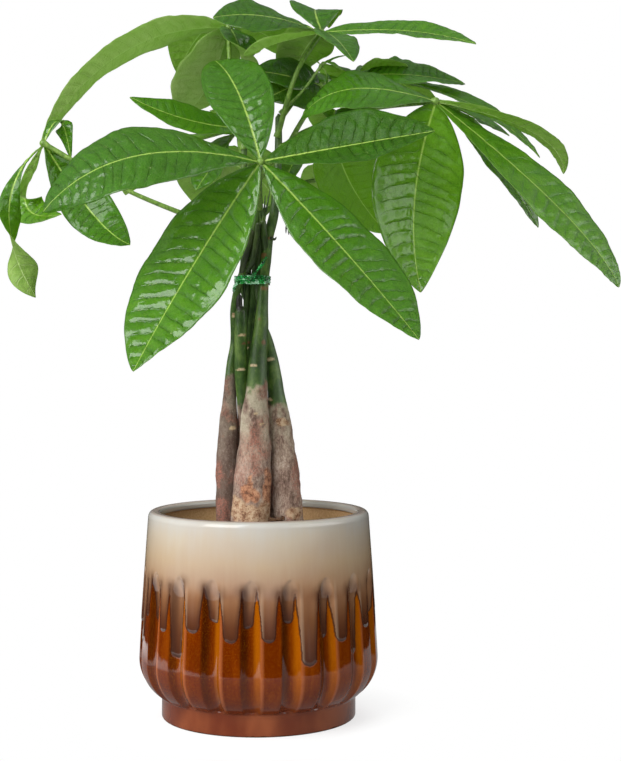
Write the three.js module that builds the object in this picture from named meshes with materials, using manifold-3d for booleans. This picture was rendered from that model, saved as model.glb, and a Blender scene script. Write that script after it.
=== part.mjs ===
// A young money tree: five seedlings tied together in a fluted pot with a drip glaze.
// Millimetres, +Z up. The origin is the middle of the pot's flat underside, and the
// plant's front leaf faces -Y.
import * as THREE from "three";
import { mergeVertices } from "three/addons/utils/BufferGeometryUtils.js";
import Module from "manifold-3d";

const wasm = await Module();
wasm.setup();

// Driving sizes
const GAP = 0.3;                  // between neighbouring pieces
const POT_HEIGHT = 144.5;
const RIM_RADIUS = 77;
const BELLY_RADIUS = 84;
const BELLY_HEIGHT = 42;          // level of the widest ring
const FOOT_RADIUS = 68.4;
const FOOT_HEIGHT = 15;
const SHOULDER_ARC = 0.866;       // how much of a quarter ellipse the lower shoulder takes
const FOOT_ROUND = 1.5;           // the foot's turned lower edge
const MOUTH_RADIUS = 68.8;
const RIM_ROUND = 2.4;
const LIP_HEIGHT = 5;             // glazed band inside the mouth, before the wall steps back
const FLUTES = 19;
const FLUTE_TOP = 106;            // level where the arched flutes begin
const FLUTE_ARCH = 14;            // height of a flute's round top
const FLUTE_DEPTH = 3.2;
const FLUTE_HALF_ANGLE = 4.6;     // degrees
const FLUTE_SHIFT = -2;           // degrees from the front to the nearest flute
const SOIL_RADIUS = 70.2;
const SOIL_FLOOR = 14;
const SOIL_ROUND = 20;            // height of the soil's rounded lower edge
const SOIL_LEVEL = 125;
const ROOT_DEPTH = 22;            // how far a stem stands in the soil
const TIE_LEVEL = 301.5;
const TIE_HEIGHT = 7;
const BLADE = 0.8;                // leaflet thickness
const PETIOLE_RADIUS = 1.5;
const KNOB_RADIUS = 2.7;          // where a leaf's leaflets meet
const YOUNG = 0.6;                // petiole and knob of a leaf that is still unfolding
const MERGE = 0.12;               // details finer than this are smoothed away after a join

const degrees = THREE.MathUtils.degToRad;
const vector = (a) => new THREE.Vector3(...a);

// Surfaces made of rings of points, closed at both ends by a fan.
// With capped false the last ring joins the first one instead.
function ringSolid(rings, capped = true) {
  const sides = rings[0].length;
  const points = rings.flat().flatMap((p) => [p.x, p.y, p.z]);
  const faces = [];
  const bands = capped ? rings.length - 1 : rings.length;
  for (let row = 0; row < bands; row += 1) {
    const next = (row + 1) % rings.length;
    for (let i = 0; i < sides; i += 1) {
      const j = (i + 1) % sides;
      const a = row * sides + i;
      const b = row * sides + j;
      const c = next * sides + j;
      const d = next * sides + i;
      faces.push(a, b, c, a, c, d);
    }
  }
  if (capped) {
    for (const [row, inward] of [[0, true], [rings.length - 1, false]]) {
      const middle = new THREE.Vector3();
      rings[row].forEach((p) => middle.addScaledVector(p, 1 / sides));
      const hub = points.length / 3;
      points.push(middle.x, middle.y, middle.z);
      for (let i = 0; i < sides; i += 1) {
        const a = row * sides + i;
        const b = row * sides + ((i + 1) % sides);
        faces.push(...(inward ? [hub, b, a] : [hub, a, b]));
      }
    }
  }
  const geometry = new THREE.BufferGeometry();
  geometry.setAttribute("position", new THREE.Float32BufferAttribute(points, 3));
  geometry.setIndex(faces);
  return geometry;
}

// A round body along points [x, y, z, radius].
function limb(points, sides, steps, swell = 0) {
  const path = new THREE.CatmullRomCurve3(points.map((p) => new THREE.Vector3(p[0], p[1], p[2])));
  const frames = path.computeFrenetFrames(steps, false);
  const spans = points.length - 1;
  const rings = [];
  for (let k = 0; k <= steps; k += 1) {
    const u = path.getUtoTmapping(k / steps) * spans;
    const span = Math.min(Math.floor(u), spans - 1);
    const radius = THREE.MathUtils.lerp(points[span][3], points[span + 1][3], u - span) + swell;
    const centre = path.getPointAt(k / steps);
    const ring = [];
    for (let i = 0; i < sides; i += 1) {
      const turn = (i / sides) * 2 * Math.PI;
      const p = centre.clone();
      p.addScaledVector(frames.normals[k], radius * Math.cos(turn));
      p.addScaledVector(frames.binormals[k], radius * Math.sin(turn));
      ring.push(p);
    }
    rings.push(ring);
  }
  return ringSolid(rings);
}

function toSolid(geometry) {
  const bare = geometry.clone();
  bare.deleteAttribute("normal");
  bare.deleteAttribute("uv");
  const merged = mergeVertices(bare, 1e-4);
  return new wasm.Manifold(new wasm.Mesh({
    numProp: 3,
    vertProperties: new Float32Array(merged.attributes.position.array),
    triVerts: new Uint32Array(merged.index.array),
  }));
}

function toGeometry(solid) {
  const mesh = solid.getMesh();
  const geometry = new THREE.BufferGeometry();
  geometry.setAttribute("position", new THREE.BufferAttribute(new Float32Array(mesh.vertProperties), 3));
  geometry.setIndex(new THREE.BufferAttribute(new Uint32Array(mesh.triVerts), 1));
  return geometry;
}

// Where solids were joined or cut, the joint leaves edges too short to matter.
const tidied = (solid) => solid.asOriginal().simplify(MERGE);

// The pot's outer wall: a nearly straight side, an elliptic shoulder and a short foot.
function wallRadius(z) {
  if (z <= FOOT_HEIGHT) {
    return FOOT_RADIUS;
  }
  if (z < BELLY_HEIGHT) {
    const drop = SHOULDER_ARC * (BELLY_HEIGHT - z) / (BELLY_HEIGHT - FOOT_HEIGHT);
    const share = (1 - Math.sqrt(1 - drop * drop)) / (1 - Math.sqrt(1 - SHOULDER_ARC * SHOULDER_ARC));
    return BELLY_RADIUS - (BELLY_RADIUS - FOOT_RADIUS) * share;
  }
  const rise = (z - BELLY_HEIGHT) / (POT_HEIGHT - BELLY_HEIGHT);
  return BELLY_RADIUS - (BELLY_RADIUS - RIM_RADIUS) * rise ** 1.1;
}

// How deep the flutes cut at a level, from a round arch at the top down to the foot.
function fluteDepth(z, fromMiddle) {
  const above = Math.max(0, z - (FLUTE_TOP - FLUTE_ARCH)) / FLUTE_ARCH;
  if (above >= 1 || z <= FOOT_HEIGHT) {
    return 0;
  }
  const half = FLUTE_HALF_ANGLE * Math.sqrt(1 - above * above);
  const across = Math.abs(fromMiddle) / half;
  return across < 1 ? FLUTE_DEPTH * (1 - across * across) : 0;
}

function potRing(radius, z, fluted) {
  const pitch = 360 / FLUTES;
  const cuts = [-pitch / 2, ...[-1, -0.5, 0, 0.5, 1].map((side) => side * FLUTE_HALF_ANGLE)];
  const ring = [];
  for (let k = 0; k < FLUTES; k += 1) {
    for (const cut of cuts) {
      const angle = degrees(-90 + FLUTE_SHIFT + k * pitch + cut);
      const r = radius - (fluted ? fluteDepth(z, cut) : 0);
      ring.push(new THREE.Vector3(r * Math.cos(angle), r * Math.sin(angle), z));
    }
  }
  return ring;
}

function potGeometry() {
  const underShoulder = FOOT_HEIGHT + 0.3;
  const fluted = [underShoulder, 19, 25, 32, BELLY_HEIGHT, 68, FLUTE_TOP - FLUTE_ARCH, 101, FLUTE_TOP];
  const wallInside = SOIL_RADIUS + GAP;
  return ringSolid([
    potRing(FOOT_RADIUS - FOOT_ROUND, 0, false),
    potRing(FOOT_RADIUS, FOOT_ROUND, false),
    potRing(FOOT_RADIUS, FOOT_HEIGHT, false),
    ...fluted.map((z) => potRing(wallRadius(z), z, true)),
    potRing(wallRadius(POT_HEIGHT - RIM_ROUND), POT_HEIGHT - RIM_ROUND, false),
    potRing(RIM_RADIUS - RIM_ROUND, POT_HEIGHT, false),
    potRing(MOUTH_RADIUS + RIM_ROUND, POT_HEIGHT, false),
    potRing(MOUTH_RADIUS, POT_HEIGHT - RIM_ROUND, false),
    potRing(MOUTH_RADIUS, POT_HEIGHT - LIP_HEIGHT, false),
    potRing(wallInside, POT_HEIGHT - LIP_HEIGHT - 1, false),
    potRing(wallInside, SOIL_FLOOR + SOIL_ROUND, false),
    potRing(wallInside - SOIL_ROUND / 2, SOIL_FLOOR - GAP, false),
  ]);
}

// Stems: [x, y, z, radius] from the soil up. The first point is the soil level.
const STEMS = {
  trunk_1: [[-24, 2, 124, 6.2], [-23, 2, 150, 7.3], [-22, 2, 184, 7.9], [-21, 2, 207, 6.3], [-20, 3, 228, 4.2],
    [-20, 6, 241, 3.3], [-17, 8, 263, 2.9], [-17, 4, 285, 2.6], [-13, -2, 305, 2.5], [-7, -5, 320, 2.4],
    [-3, -6, 338, 2.3], [1, -8, 358, 2.2]],
  trunk_2: [[-12, 16, 124, 8.6], [-12, 15, 150, 8.2], [-10.5, 13, 175, 6.6], [-9.5, 9, 192, 5.2],
    [-9, 2, 208, 4.7], [-11, -3, 226, 4.5], [-12, -5, 242, 4.5], [-12, -6, 264, 4.5], [-12, -6, 283, 4.2], [-13, -6, 287, 2.2],
    [-13, -6, 296, 1.9]],
  trunk_3: [[-6, -14, 124, 13.2], [-5, -14, 145, 13.5], [-3, -14, 174, 12.1], [-2, -13, 192, 10.7],
    [-2, -12, 214, 9.1], [-1, -11, 229, 7.4], [0, -9, 250, 6.1], [2, -7, 271, 5.1], [3, -4, 291, 3.9],
    [4, -3, 305, 3.2], [5, -3, 318, 3.9], [7, -2, 335, 3.4], [11, 0, 352, 3.2], [13, 2, 376, 2.9],
    [14, 5, 400, 2.6], [14, 7, 422, 2.2]],
  trunk_4: [[9, 17, 124, 8], [9, 16, 150, 7.8], [6, 15, 175, 6.4], [1, 15, 200, 4.8], [-5, 12, 226, 3.4],
    [-8, 10, 243, 2.8], [-7, 8, 263, 2.6], [-4, 4, 285, 2.5], [-3, 3, 305, 2.5], [-1, 4, 322, 2.5],
    [1, 8, 345, 2.4], [0, 13, 370, 2.3], [-1, 18, 392, 2.1]],
  trunk_5: [[20, -2, 124, 11.3], [20, -2, 145, 11.2], [18, -2, 172, 10.1], [16, -1, 191, 9], [14, 0, 210, 7.8],
    [12, 2, 228, 5.8], [9, 5, 249, 4.7], [4, 10, 268, 3.7], [-4, 12, 285, 3], [-10, 9, 297, 2.7],
    [-11, 6, 305, 2.6], [-10, 4, 322, 2.6], [-9, 3, 345, 2.5], [-10, 2, 372, 2.3], [-10, 1, 400, 2]],
};

// A stem goes on below the soil as a narrower stub.
function stemPoints(name) {
  const points = STEMS[name];
  const [x, y, z, radius] = points[0];
  return [[x, y, z - ROOT_DEPTH, radius * 0.55], [x, y, z - 4, radius * 0.8], ...points];
}

const stemGeometry = (name, swell = 0) => limb(stemPoints(name), 10, Math.round(1.6 * STEMS[name].length), swell);

// The loose stack of wraps follows the outline of the stems that it holds.
function tieGeometry() {
  const held = ["trunk_1", "trunk_3", "trunk_4", "trunk_5"];
  const curves = held.map((name) => {
    const points = STEMS[name];
    return { points, path: new THREE.CatmullRomCurve3(points.map((p) => new THREE.Vector3(p[0], p[1], p[2]))) };
  });
  const stemAt = ({ points, path }, z) => {
    let t = 0.5;
    for (let step = 0.25; step > 1e-4; step /= 2) {
      t += path.getPoint(t).z < z ? step : -step;
    }
    const p = path.getPoint(t);
    const span = Math.min(Math.floor(t * (points.length - 1)), points.length - 2);
    return { x: p.x, y: p.y, radius: Math.max(points[span][3], points[span + 1][3]) };
  };
  const [inside, groove, ridge] = [0.7, 1.4, 2.2];
  const section = [[0, inside], [1, inside], [1, groove]];
  for (let wrap = 3; wrap > 0; wrap -= 1) {
    section.push([(wrap - 0.5) / 3, ridge], [(wrap - 1) / 3, groove]);
  }
  const corners = 28;
  const rings = section.map(([rise, off]) => {
    const z = TIE_LEVEL + rise * TIE_HEIGHT;
    const stems = curves.map((curve) => stemAt(curve, z));
    const ring = [];
    for (let k = 0; k < corners; k += 1) {
      const nx = Math.cos((2 * Math.PI * k) / corners);
      const ny = Math.sin((2 * Math.PI * k) / corners);
      const reach = (stem) => stem.x * nx + stem.y * ny + stem.radius;
      const outer = stems.reduce((best, stem) => (reach(stem) > reach(best) ? stem : best));
      ring.push(new THREE.Vector3(outer.x + nx * (outer.radius + off), outer.y + ny * (outer.radius + off), z));
    }
    return ring;
  });
  const band = toSolid(ringSolid(rings.reverse(), false));
  const tail = limb([[-6, -6.8, 305, 1.1], [-2, -10, 310, 1.2], [3, -12, 316, 1.1], [6, -12, 321, 1]], 6, 8);
  const end = limb([[-14, -5.6, 304, 0.9], [-16, -8.5, 301, 0.9], [-17, -9.5, 297, 0.8]], 6, 4);
  return toGeometry(tidied(band.add(toSolid(tail)).add(toSolid(end))));
}

// One leaflet: a folded, waved blade along a bent midrib from the leaf's hub.
// across is -1 at the left edge, 0 on the midrib and 1 at the right edge.
function leafletShape({
  hub, face, mid, tip, width, roll = 0, twist = 0, fold = 8, widest = 0.5, phase = 0, size = 1,
}) {
  const start = vector(hub).addScaledVector(vector(mid).normalize(), 0.6 * KNOB_RADIUS * size);
  const middle = vector(hub).add(vector(mid));
  const end = vector(hub).add(vector(tip));
  const bend = middle.clone().multiplyScalar(2).addScaledVector(start, -0.5).addScaledVector(end, -0.5);
  const rib = new THREE.QuadraticBezierCurve3(start, bend, end);
  const lean = Math.log(0.5) / Math.log(widest);
  return (t, across) => {
    const along = rib.getTangent(t);
    const up = vector(face).normalize();
    up.addScaledVector(along, -up.dot(along)).normalize();
    up.applyAxisAngle(along, degrees(roll + twist * t));
    const side = new THREE.Vector3().crossVectors(along, up);
    const swell = Math.sin(Math.PI * t ** lean) ** 0.8;
    const half = (width / 2) * Math.max(swell, 0.045 * (1 - t)) + 0.35;
    const wave = 0.035 * width * swell * Math.sin(2 * Math.PI * 1.4 * t + phase + (across > 0 ? 2 : 0));
    const lift = half * Math.abs(across) * Math.sin(degrees(fold)) + wave * across * across;
    const point = rib.getPoint(t).addScaledVector(side, half * across).addScaledVector(up, lift);
    return { point, up };
  };
}

// Upper and lower skins share the same splits, so a waved blade never crosses itself.
function leafletGeometry(leaflet) {
  const shape = leafletShape(leaflet);
  const stations = [0, 0.08, 0.2, 0.36, 0.53, 0.7, 0.86, 1];
  const rings = stations.map((t) => {
    const cuts = [-1, 0, 1].map((across) => shape(t, across));
    const top = cuts.map(({ point, up }) => point.clone().addScaledVector(up, BLADE / 2));
    const bottom = cuts.map(({ point, up }) => point.clone().addScaledVector(up, -BLADE / 2));
    return [...top, ...bottom.reverse()];
  });
  return ringSolid(rings);
}

// Leaves: root, bow and hub of the petiole in the part's frame, and each leaflet's middle and
// tip from the hub. face is the way that the fan's upper side looks.
const LEAVES = [
  {
    stem: "trunk_1", root: [1, -8, 355], bow: [2, -50, 370], hub: [4, -78, 380], face: [0, -0.8, 0.6],
    leaflets: [
      { mid: [-16, 28, 49], tip: [-34, 75, 77], width: 44, fold: 11 },
      { mid: [-80, -30, 0], tip: [-138, -22, -34], width: 58, widest: 0.53, roll: 11, twist: -8, fold: -3 },
      { mid: [-44, -10, -69], tip: [-78, -48, -135], width: 68, roll: 7, twist: 14, fold: 6 },
      { mid: [54, -24, -59], tip: [99, -61, -115], width: 56, widest: 0.54, roll: -4, twist: -23, fold: 4 },
      { mid: [56, -1, 10], tip: [112, -14, 18], width: 48, widest: 0.54, roll: -6, fold: 17 },
    ],
  },
  {
    stem: "trunk_3", root: [14, 5, 398], bow: [70, -18, 420], hub: [121, -35, 425], face: [0.35, -0.5, 0.8],
    leaflets: [
      { mid: [-14, 4, -67], tip: [-11, -17, -129], width: 63, widest: 0.42, roll: 7, twist: 12 },
      { mid: [-58, -7, 7], tip: [-91, 4, -11], width: 56, fold: -2 },
      { mid: [82, -20, -75], tip: [120, -24, -126], width: 45, widest: 0.45, roll: 4, twist: 7, fold: 2 },
      { mid: [68, 10, -20], tip: [96, 62, -43], width: 20, widest: 0.4, roll: -46, twist: 16 },
      { mid: [24, 14, -7], tip: [51, 11, -22], width: 28, roll: -11, twist: 4 },
      { mid: [38, 15, -35], tip: [72, 17, -84], width: 40 },
    ],
  },
  {
    stem: "trunk_3", root: [13, 2, 405], bow: [27, -5, 449], hub: [44, 10, 479], face: [0, -0.35, 0.9],
    leaflets: [
      { mid: [-39, -13, 9], tip: [-75, -18, 7], width: 43, widest: 0.62, roll: -8, twist: -13, fold: -1 },
      { mid: [59, 4, 2], tip: [106, -24, -12], width: 29, widest: 0.47, roll: 12, twist: -6 },
      { mid: [10, -31, -10], tip: [21, -55, -29], width: 29, roll: -14 },
      { mid: [-26, -31, -11], tip: [-53, -37, -22], width: 28, widest: 0.62, roll: 24, twist: 9 },
      { mid: [-4, 26, 21], tip: [6, 58, 14], width: 38, roll: 8 },
      { mid: [-12, 36, -6], tip: [-30, 58, -38], width: 40, roll: 25 },
    ],
  },
  {
    stem: "trunk_5", root: [-10, 1, 396], bow: [-20, 12, 455], hub: [-22, 25, 486], face: [0, 0.1, 1],
    leaflets: [
      { mid: [-76, -7, -20], tip: [-132, -8, -83], width: 42, widest: 0.37, roll: 7, twist: 7, fold: 5 },
      { mid: [-15, 9, -39], tip: [-37, 35, -60], width: 62, widest: 0.38, roll: -4, twist: -6 },
      { mid: [8, -10, -17], tip: [12, -10, -44], width: 40 },
      { mid: [30, 34, -2], tip: [58, 64, -26], width: 40 },
      { mid: [-22, 52, 6], tip: [-44, 96, -18], width: 46 },
    ],
  },
  {
    stem: "trunk_5", root: [-9, 3, 335], bow: [-92, -3, 368], hub: [-149, -5, 400], face: [-0.3, -0.4, 0.85],
    leaflets: [
      { mid: [-20, -23, -48], tip: [-4, -12, -107], width: 27, widest: 0.74, roll: 28, twist: -213 },
      { mid: [-17, 27, -40], tip: [14, -12, -50], width: 26, roll: 6, twist: 11 },
      { mid: [34, 2, -49], tip: [64, -39, -72], width: 34, widest: 0.41, roll: 7, twist: 6 },
      { mid: [10, 10, 16], tip: [17, 13, -9], width: 14 },
    ],
  },
  {
    stem: "trunk_5", root: [-10, 1, 388], bow: [-14, 14, 404], hub: [-14, 24, 414], face: [0, -0.3, 0.9],
    leaflets: [
      { mid: [-38, -21, 4], tip: [-75, -28, 18], width: 34, widest: 0.39, roll: -24 },
      { mid: [-16, 5, -21], tip: [-31, -1, -44], width: 44 },
      { mid: [-30, 6, -8], tip: [-62, 4, -16], width: 36 },
      { mid: [-2, 52, 18], tip: [-10, 100, 6], width: 44 },
    ],
  },
  {
    stem: "trunk_4", root: [0, 15, 378], bow: [24, 32, 408], hub: [52, 45, 422], face: [0, -0.2, 0.9],
    leaflets: [
      { mid: [12, 6, -42], tip: [40, 6, -81], width: 71, roll: 32, fold: 12 },
      { mid: [-21, 5, -18], tip: [-35, 0, -48], width: 36 },
      { mid: [36, 44, 2], tip: [70, 72, -30], width: 46 },
      { mid: [5, 60, 12], tip: [6, 108, -20], width: 48 },
    ],
  },
  {
    stem: "trunk_3", root: [13, 3, 386], bow: [40, 24, 432], hub: [69, 40, 453], face: [0.1, -0.2, 1],
    leaflets: [
      { mid: [37, -14, -1], tip: [79, 2, -5], width: 55, widest: 0.39, roll: 17, fold: 7 },
      { mid: [15, -3, 7], tip: [38, -3, 6], width: 30, widest: 0.56, roll: -3, twist: -18 },
      { mid: [32, 40, 4], tip: [66, 70, -24], width: 44 },
      { mid: [-3, 60, 10], tip: [-4, 106, -14], width: 46 },
      { mid: [76, -14, -19], tip: [129, -28, -61], width: 25, roll: 14, twist: -8 },
    ],
  },
  {
    stem: "trunk_3", root: [14, 7, 417], bow: [30, 24, 438], hub: [45, 30, 445], face: [-0.1, -0.5, 0.8],
    leaflets: [
      { mid: [-18, -8, -1], tip: [-40, -14, -12], width: 46, roll: -30 },
      { mid: [-27, -8, 6], tip: [-48, -14, 8], width: 30, roll: -20 },
      { mid: [13, 34, 10], tip: [30, 66, 6], width: 36 },
    ],
  },
  {
    stem: "trunk_4", root: [-1, 18, 386], bow: [-26, 64, 398], hub: [-46, 96, 398], face: [-0.3, 0.5, 0.8],
    leaflets: [
      { mid: [-46, 10, 4], tip: [-84, 12, -14], width: 44 },
      { mid: [-38, 52, 6], tip: [-68, 92, -18], width: 54 },
      { mid: [4, 58, -2], tip: [6, 100, -42], width: 56 },
      { mid: [36, 24, -6], tip: [58, 40, -34], width: 44 },
    ],
  },
  {
    stem: "trunk_4", root: [1, 9, 350], bow: [30, 60, 378], hub: [60, 92, 384], face: [0.3, 0.5, 0.8],
    leaflets: [
      { mid: [48, 14, 2], tip: [88, 18, -22], width: 46 },
      { mid: [40, 50, 2], tip: [68, 90, -32], width: 54 },
      { mid: [-6, 56, -6], tip: [-14, 98, -52], width: 56 },
    ],
  },
  {
    stem: "trunk_3", root: [15, 5, 422], bow: [31, 0, 437], hub: [44, -3, 454], face: [0, -0.2, 1], size: YOUNG,
    leaflets: [
      { mid: [-5, -2, 3], tip: [-9, -4, 2], width: 5 },
      { mid: [5, -6, 1], tip: [14, -12, -5], width: 6 },
      { mid: [4, 2, -7], tip: [5, 2, -14], width: 6 },
      { mid: [8, 4, 5], tip: [17, 6, 8], width: 6 },
    ],
  },
];

function leafGeometry({ stem, root, hub, bow, face, leaflets, size = 1 }) {
  const petiole = limb([
    [...root, 1.4 * PETIOLE_RADIUS * size],
    [...bow, PETIOLE_RADIUS * size],
    [...hub, 1.2 * PETIOLE_RADIUS * size],
  ], 5, 7);
  const knob = new THREE.IcosahedronGeometry(KNOB_RADIUS * size, 0);
  knob.translate(...hub);
  let leaf = toSolid(petiole).add(toSolid(knob));
  leaflets.forEach((leaflet, i) => {
    leaf = leaf.add(toSolid(leafletGeometry({ hub, face, size, phase: 2.3 * i, ...leaflet })));
  });
  return toGeometry(tidied(leaf.subtract(toSolid(stemGeometry(stem, GAP)))));
}

// Soil: a low uneven mound with a plain hole for each stem.
function soilGeometry() {
  const sides = 28;
  const ring = (radius, z, roughness) => {
    const points = [];
    for (let k = 0; k < sides; k += 1) {
      const turn = (2 * Math.PI * k) / sides;
      const bump = roughness * (Math.sin(5 * turn + radius) + Math.sin(11 * turn + 2 * radius));
      points.push(new THREE.Vector3(radius * Math.cos(turn), radius * Math.sin(turn), z + bump));
    }
    return points;
  };
  const rings = [
    ring(SOIL_RADIUS - SOIL_ROUND / 2 - 1, SOIL_FLOOR, 0),
    ring(SOIL_RADIUS, SOIL_FLOOR + SOIL_ROUND + 1, 0),
    ring(SOIL_RADIUS, SOIL_LEVEL - 3, 0),
    ring(SOIL_RADIUS - 8, SOIL_LEVEL - 1, 0.5),
    ring(0.7 * SOIL_RADIUS, SOIL_LEVEL, 0.6),
    ring(0.5 * SOIL_RADIUS, SOIL_LEVEL + 1, 0.5),
  ];
  let soil = toSolid(ringSolid(rings));
  for (const name of Object.keys(STEMS)) {
    soil = soil.subtract(toSolid(stemGeometry(name, GAP)));
  }
  return toGeometry(tidied(soil));
}

const paint = (name, color, roughness, metalness = 0) =>
  new THREE.MeshStandardMaterial({ name, color, roughness, metalness });

const GLAZE = paint("glaze", 0xb5651d, 0.15);
const SOIL = paint("soil", 0x2b1d14, 0.95);
const BARK = paint("bark", 0x6b4f3f, 0.8);
const LEAF = paint("leaf", 0x2f8a1c, 0.35);
const FOIL = paint("foil", 0x0c9a4a, 0.25, 0.9);

const plant = new THREE.Group();

function addPiece(name, geometry, material) {
  const mesh = new THREE.Mesh(geometry, material);
  mesh.name = name;
  plant.add(mesh);
}

addPiece("pot", potGeometry(), GLAZE);
addPiece("soil", soilGeometry(), SOIL);
for (const name of Object.keys(STEMS)) {
  addPiece(name, stemGeometry(name), BARK);
}
addPiece("tie", tieGeometry(), FOIL);
LEAVES.forEach((leaf, i) => {
  addPiece(`leaf_${String(i + 1).padStart(2, "0")}`, leafGeometry(leaf), LEAF);
});

export default plant;
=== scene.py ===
# A potted money tree: a drip-glazed fluted pot, soil, five bark-footed stems, a foil tie and
# twelve palmate leaves. Lengths are in millimetres until a mesh is made.
import itertools
import math

import bpy
import numpy as np
from mathutils import Matrix
from mathutils.kdtree import KDTree


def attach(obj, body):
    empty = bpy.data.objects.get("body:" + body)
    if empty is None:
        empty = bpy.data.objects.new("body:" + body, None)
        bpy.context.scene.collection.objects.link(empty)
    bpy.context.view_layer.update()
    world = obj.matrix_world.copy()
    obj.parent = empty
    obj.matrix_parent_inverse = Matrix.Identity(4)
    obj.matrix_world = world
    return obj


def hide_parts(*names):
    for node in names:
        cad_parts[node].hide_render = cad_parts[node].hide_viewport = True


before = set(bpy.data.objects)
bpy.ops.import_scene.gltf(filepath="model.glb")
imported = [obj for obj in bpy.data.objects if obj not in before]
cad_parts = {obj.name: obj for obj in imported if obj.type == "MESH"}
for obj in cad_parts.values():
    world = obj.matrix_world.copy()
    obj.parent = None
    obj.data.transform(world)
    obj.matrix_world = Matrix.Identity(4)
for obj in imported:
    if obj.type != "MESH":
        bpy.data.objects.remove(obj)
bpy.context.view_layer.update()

MM = 0.001

# The photograph's camera
CAMERA_PLACE = (0.0364, -1.141, 0.273)
CAMERA_PITCH = 88.1
CAMERA_LENS = 77.1
CAMERA_SENSOR = 36

# Lights, in metres and watts, and the directions that the room is brighter in
WHITE = (1, 1, 1, 1)
KEY_LIGHT = dict(place=(-1.15, -1.4, 1.5), aim=(0, 0, 0.3), width=1.5, height=1.9, power=53)
BACK_LIGHT = dict(place=(0.3, 1.5, 1.7), aim=(0, 0, 0.45), width=1.6, height=0.7, power=26)
LIT_SIDE = (-0.7, -0.7, 0.12)
LAMP_SIDE = (-0.45, -0.87, 0.2)
WINDOW_SIDE = (0.87, -0.38, 0.3)
FLOOR_RADII = (0.05, 0.2, 0.4, 0.8, 1.6, 3.2, 6, 12, 30)
FLOOR_SIDES = 96

# Pot, as in the solid model
POT_HEIGHT = 144.5
RIM_RADIUS = 77
BELLY_RADIUS = 84
BELLY_HEIGHT = 42
FOOT_RADIUS = 68.4
FOOT_HEIGHT = 15
SHOULDER_ARC = 0.866
FOOT_ROUND = 1.5
MOUTH_RADIUS = 68.8
RIM_ROUND = 2.4
RIM_OUTER_ROUND = 4.4
LIP_HEIGHT = 5
FLUTES = 19
FLUTE_PITCH = 360 / FLUTES
FLUTE_TOP = 106
FLUTE_ARCH = 14
FLUTE_DEPTH = 3.2
FLUTE_HALF_ANGLE = 4.6
FLUTE_SHIFT = -2
FLUTE_SOFTNESS = 0.16
WALL_INSIDE = 70.5
POT_FLOOR = 13.7
GLAZE_THICKNESS = 0.3

# The drips that the photograph shows: (degrees from the front, level) of each tip and of each
# gap's top, left to right.
DRIPS = [
    (-68.2, 99.5), (-67.4, 75.7), (-63.1, 102.1), (-54.9, 73), (-53.6, 100), (-49.7, 68.7), (-45.9, 99.7),
    (-39.9, 52.7), (-37.1, 103.2), (-30.4, 70.9), (-24.9, 101.3), (-18.7, 78.5), (-16.9, 97.7),
    (-10.9, 66), (-6, 99.3), (-4, 75.3), (1, 100.4), (6.8, 66.5), (11.1, 98.1), (16.7, 78.2),
    (19.4, 98.6), (25.9, 49.8), (31.1, 96.4), (34, 67.2), (37.6, 94.5), (44.7, 63.1), (49.6, 97),
    (53.2, 52.6), (58, 97), (65.2, 68.5), (69.4, 98),
]
HIDDEN_TIPS = (50, 79)              # levels of the drips at the back
HIDDEN_GAPS = (96, 102)
TONGUE_ROUND = 0.62                 # how much of a drip's half width its round tip takes
MM_PER_DEGREE = math.radians(1) * 82.5
DRIP_BAND = (44, 116)               # levels between which distances to the drips matter
FAR = 30.0

# Stems and leaves, as in the solid model
SOIL_RADIUS = 70.2
SOIL_LEVEL = 125
SOIL_WALL_LEVELS = (14.2, 35, 121)
SOIL_SIDES = 150
SPREAD_CHIPS = 330                  # chips of bark all over the soil, out to a radius
SPREAD_RADIUS = 66
HEAPED_CHIPS = 130                  # chips heaped between two stems, within ranges of x, y and level
HEAP_X = (5.5, 19)
HEAP_Y = (-20.5, -12)
HEAP_LEVEL = 127
HEAP_HEIGHT = 14
CHIP_SIDES = 7
ROOT_DEPTH = 22
STEM_RINGS_PER_MM = 1.25
STEM_SIDES = 64
SHOOT_SIDES = 14
TIE_LEVEL = 301.5
TIE_HEIGHT = 7
TIE_HOLDS = ("trunk_1", "trunk_3", "trunk_4", "trunk_5")
TIE_TURNS = 4
TIE_COLUMNS = 90                    # in each turn
TIE_TAILS = (
    [(-6, -6.8, 305, 1), (-2, -10, 310, 1), (3, -12, 316, 1), (6, -12, 321, 1)],
    [(-14, -5.6, 304, 1), (-16, -8.5, 301, 1), (-17, -9.5, 297, 1)],
)
RIBBON_COLUMNS = 7
LARGE_LEAFLET = 4500                # width times length from which a leaflet has its full detail
BLADE_HALF = 0.28                   # half a blade's thickness, and the rib's groove above and ridge below
RIB_GROOVE = 0.35
RIB_RIDGE = 0.75
PETIOLE_RADIUS = 1.5
KNOB_RADIUS = 2.7
YOUNG = 0.6
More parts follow.
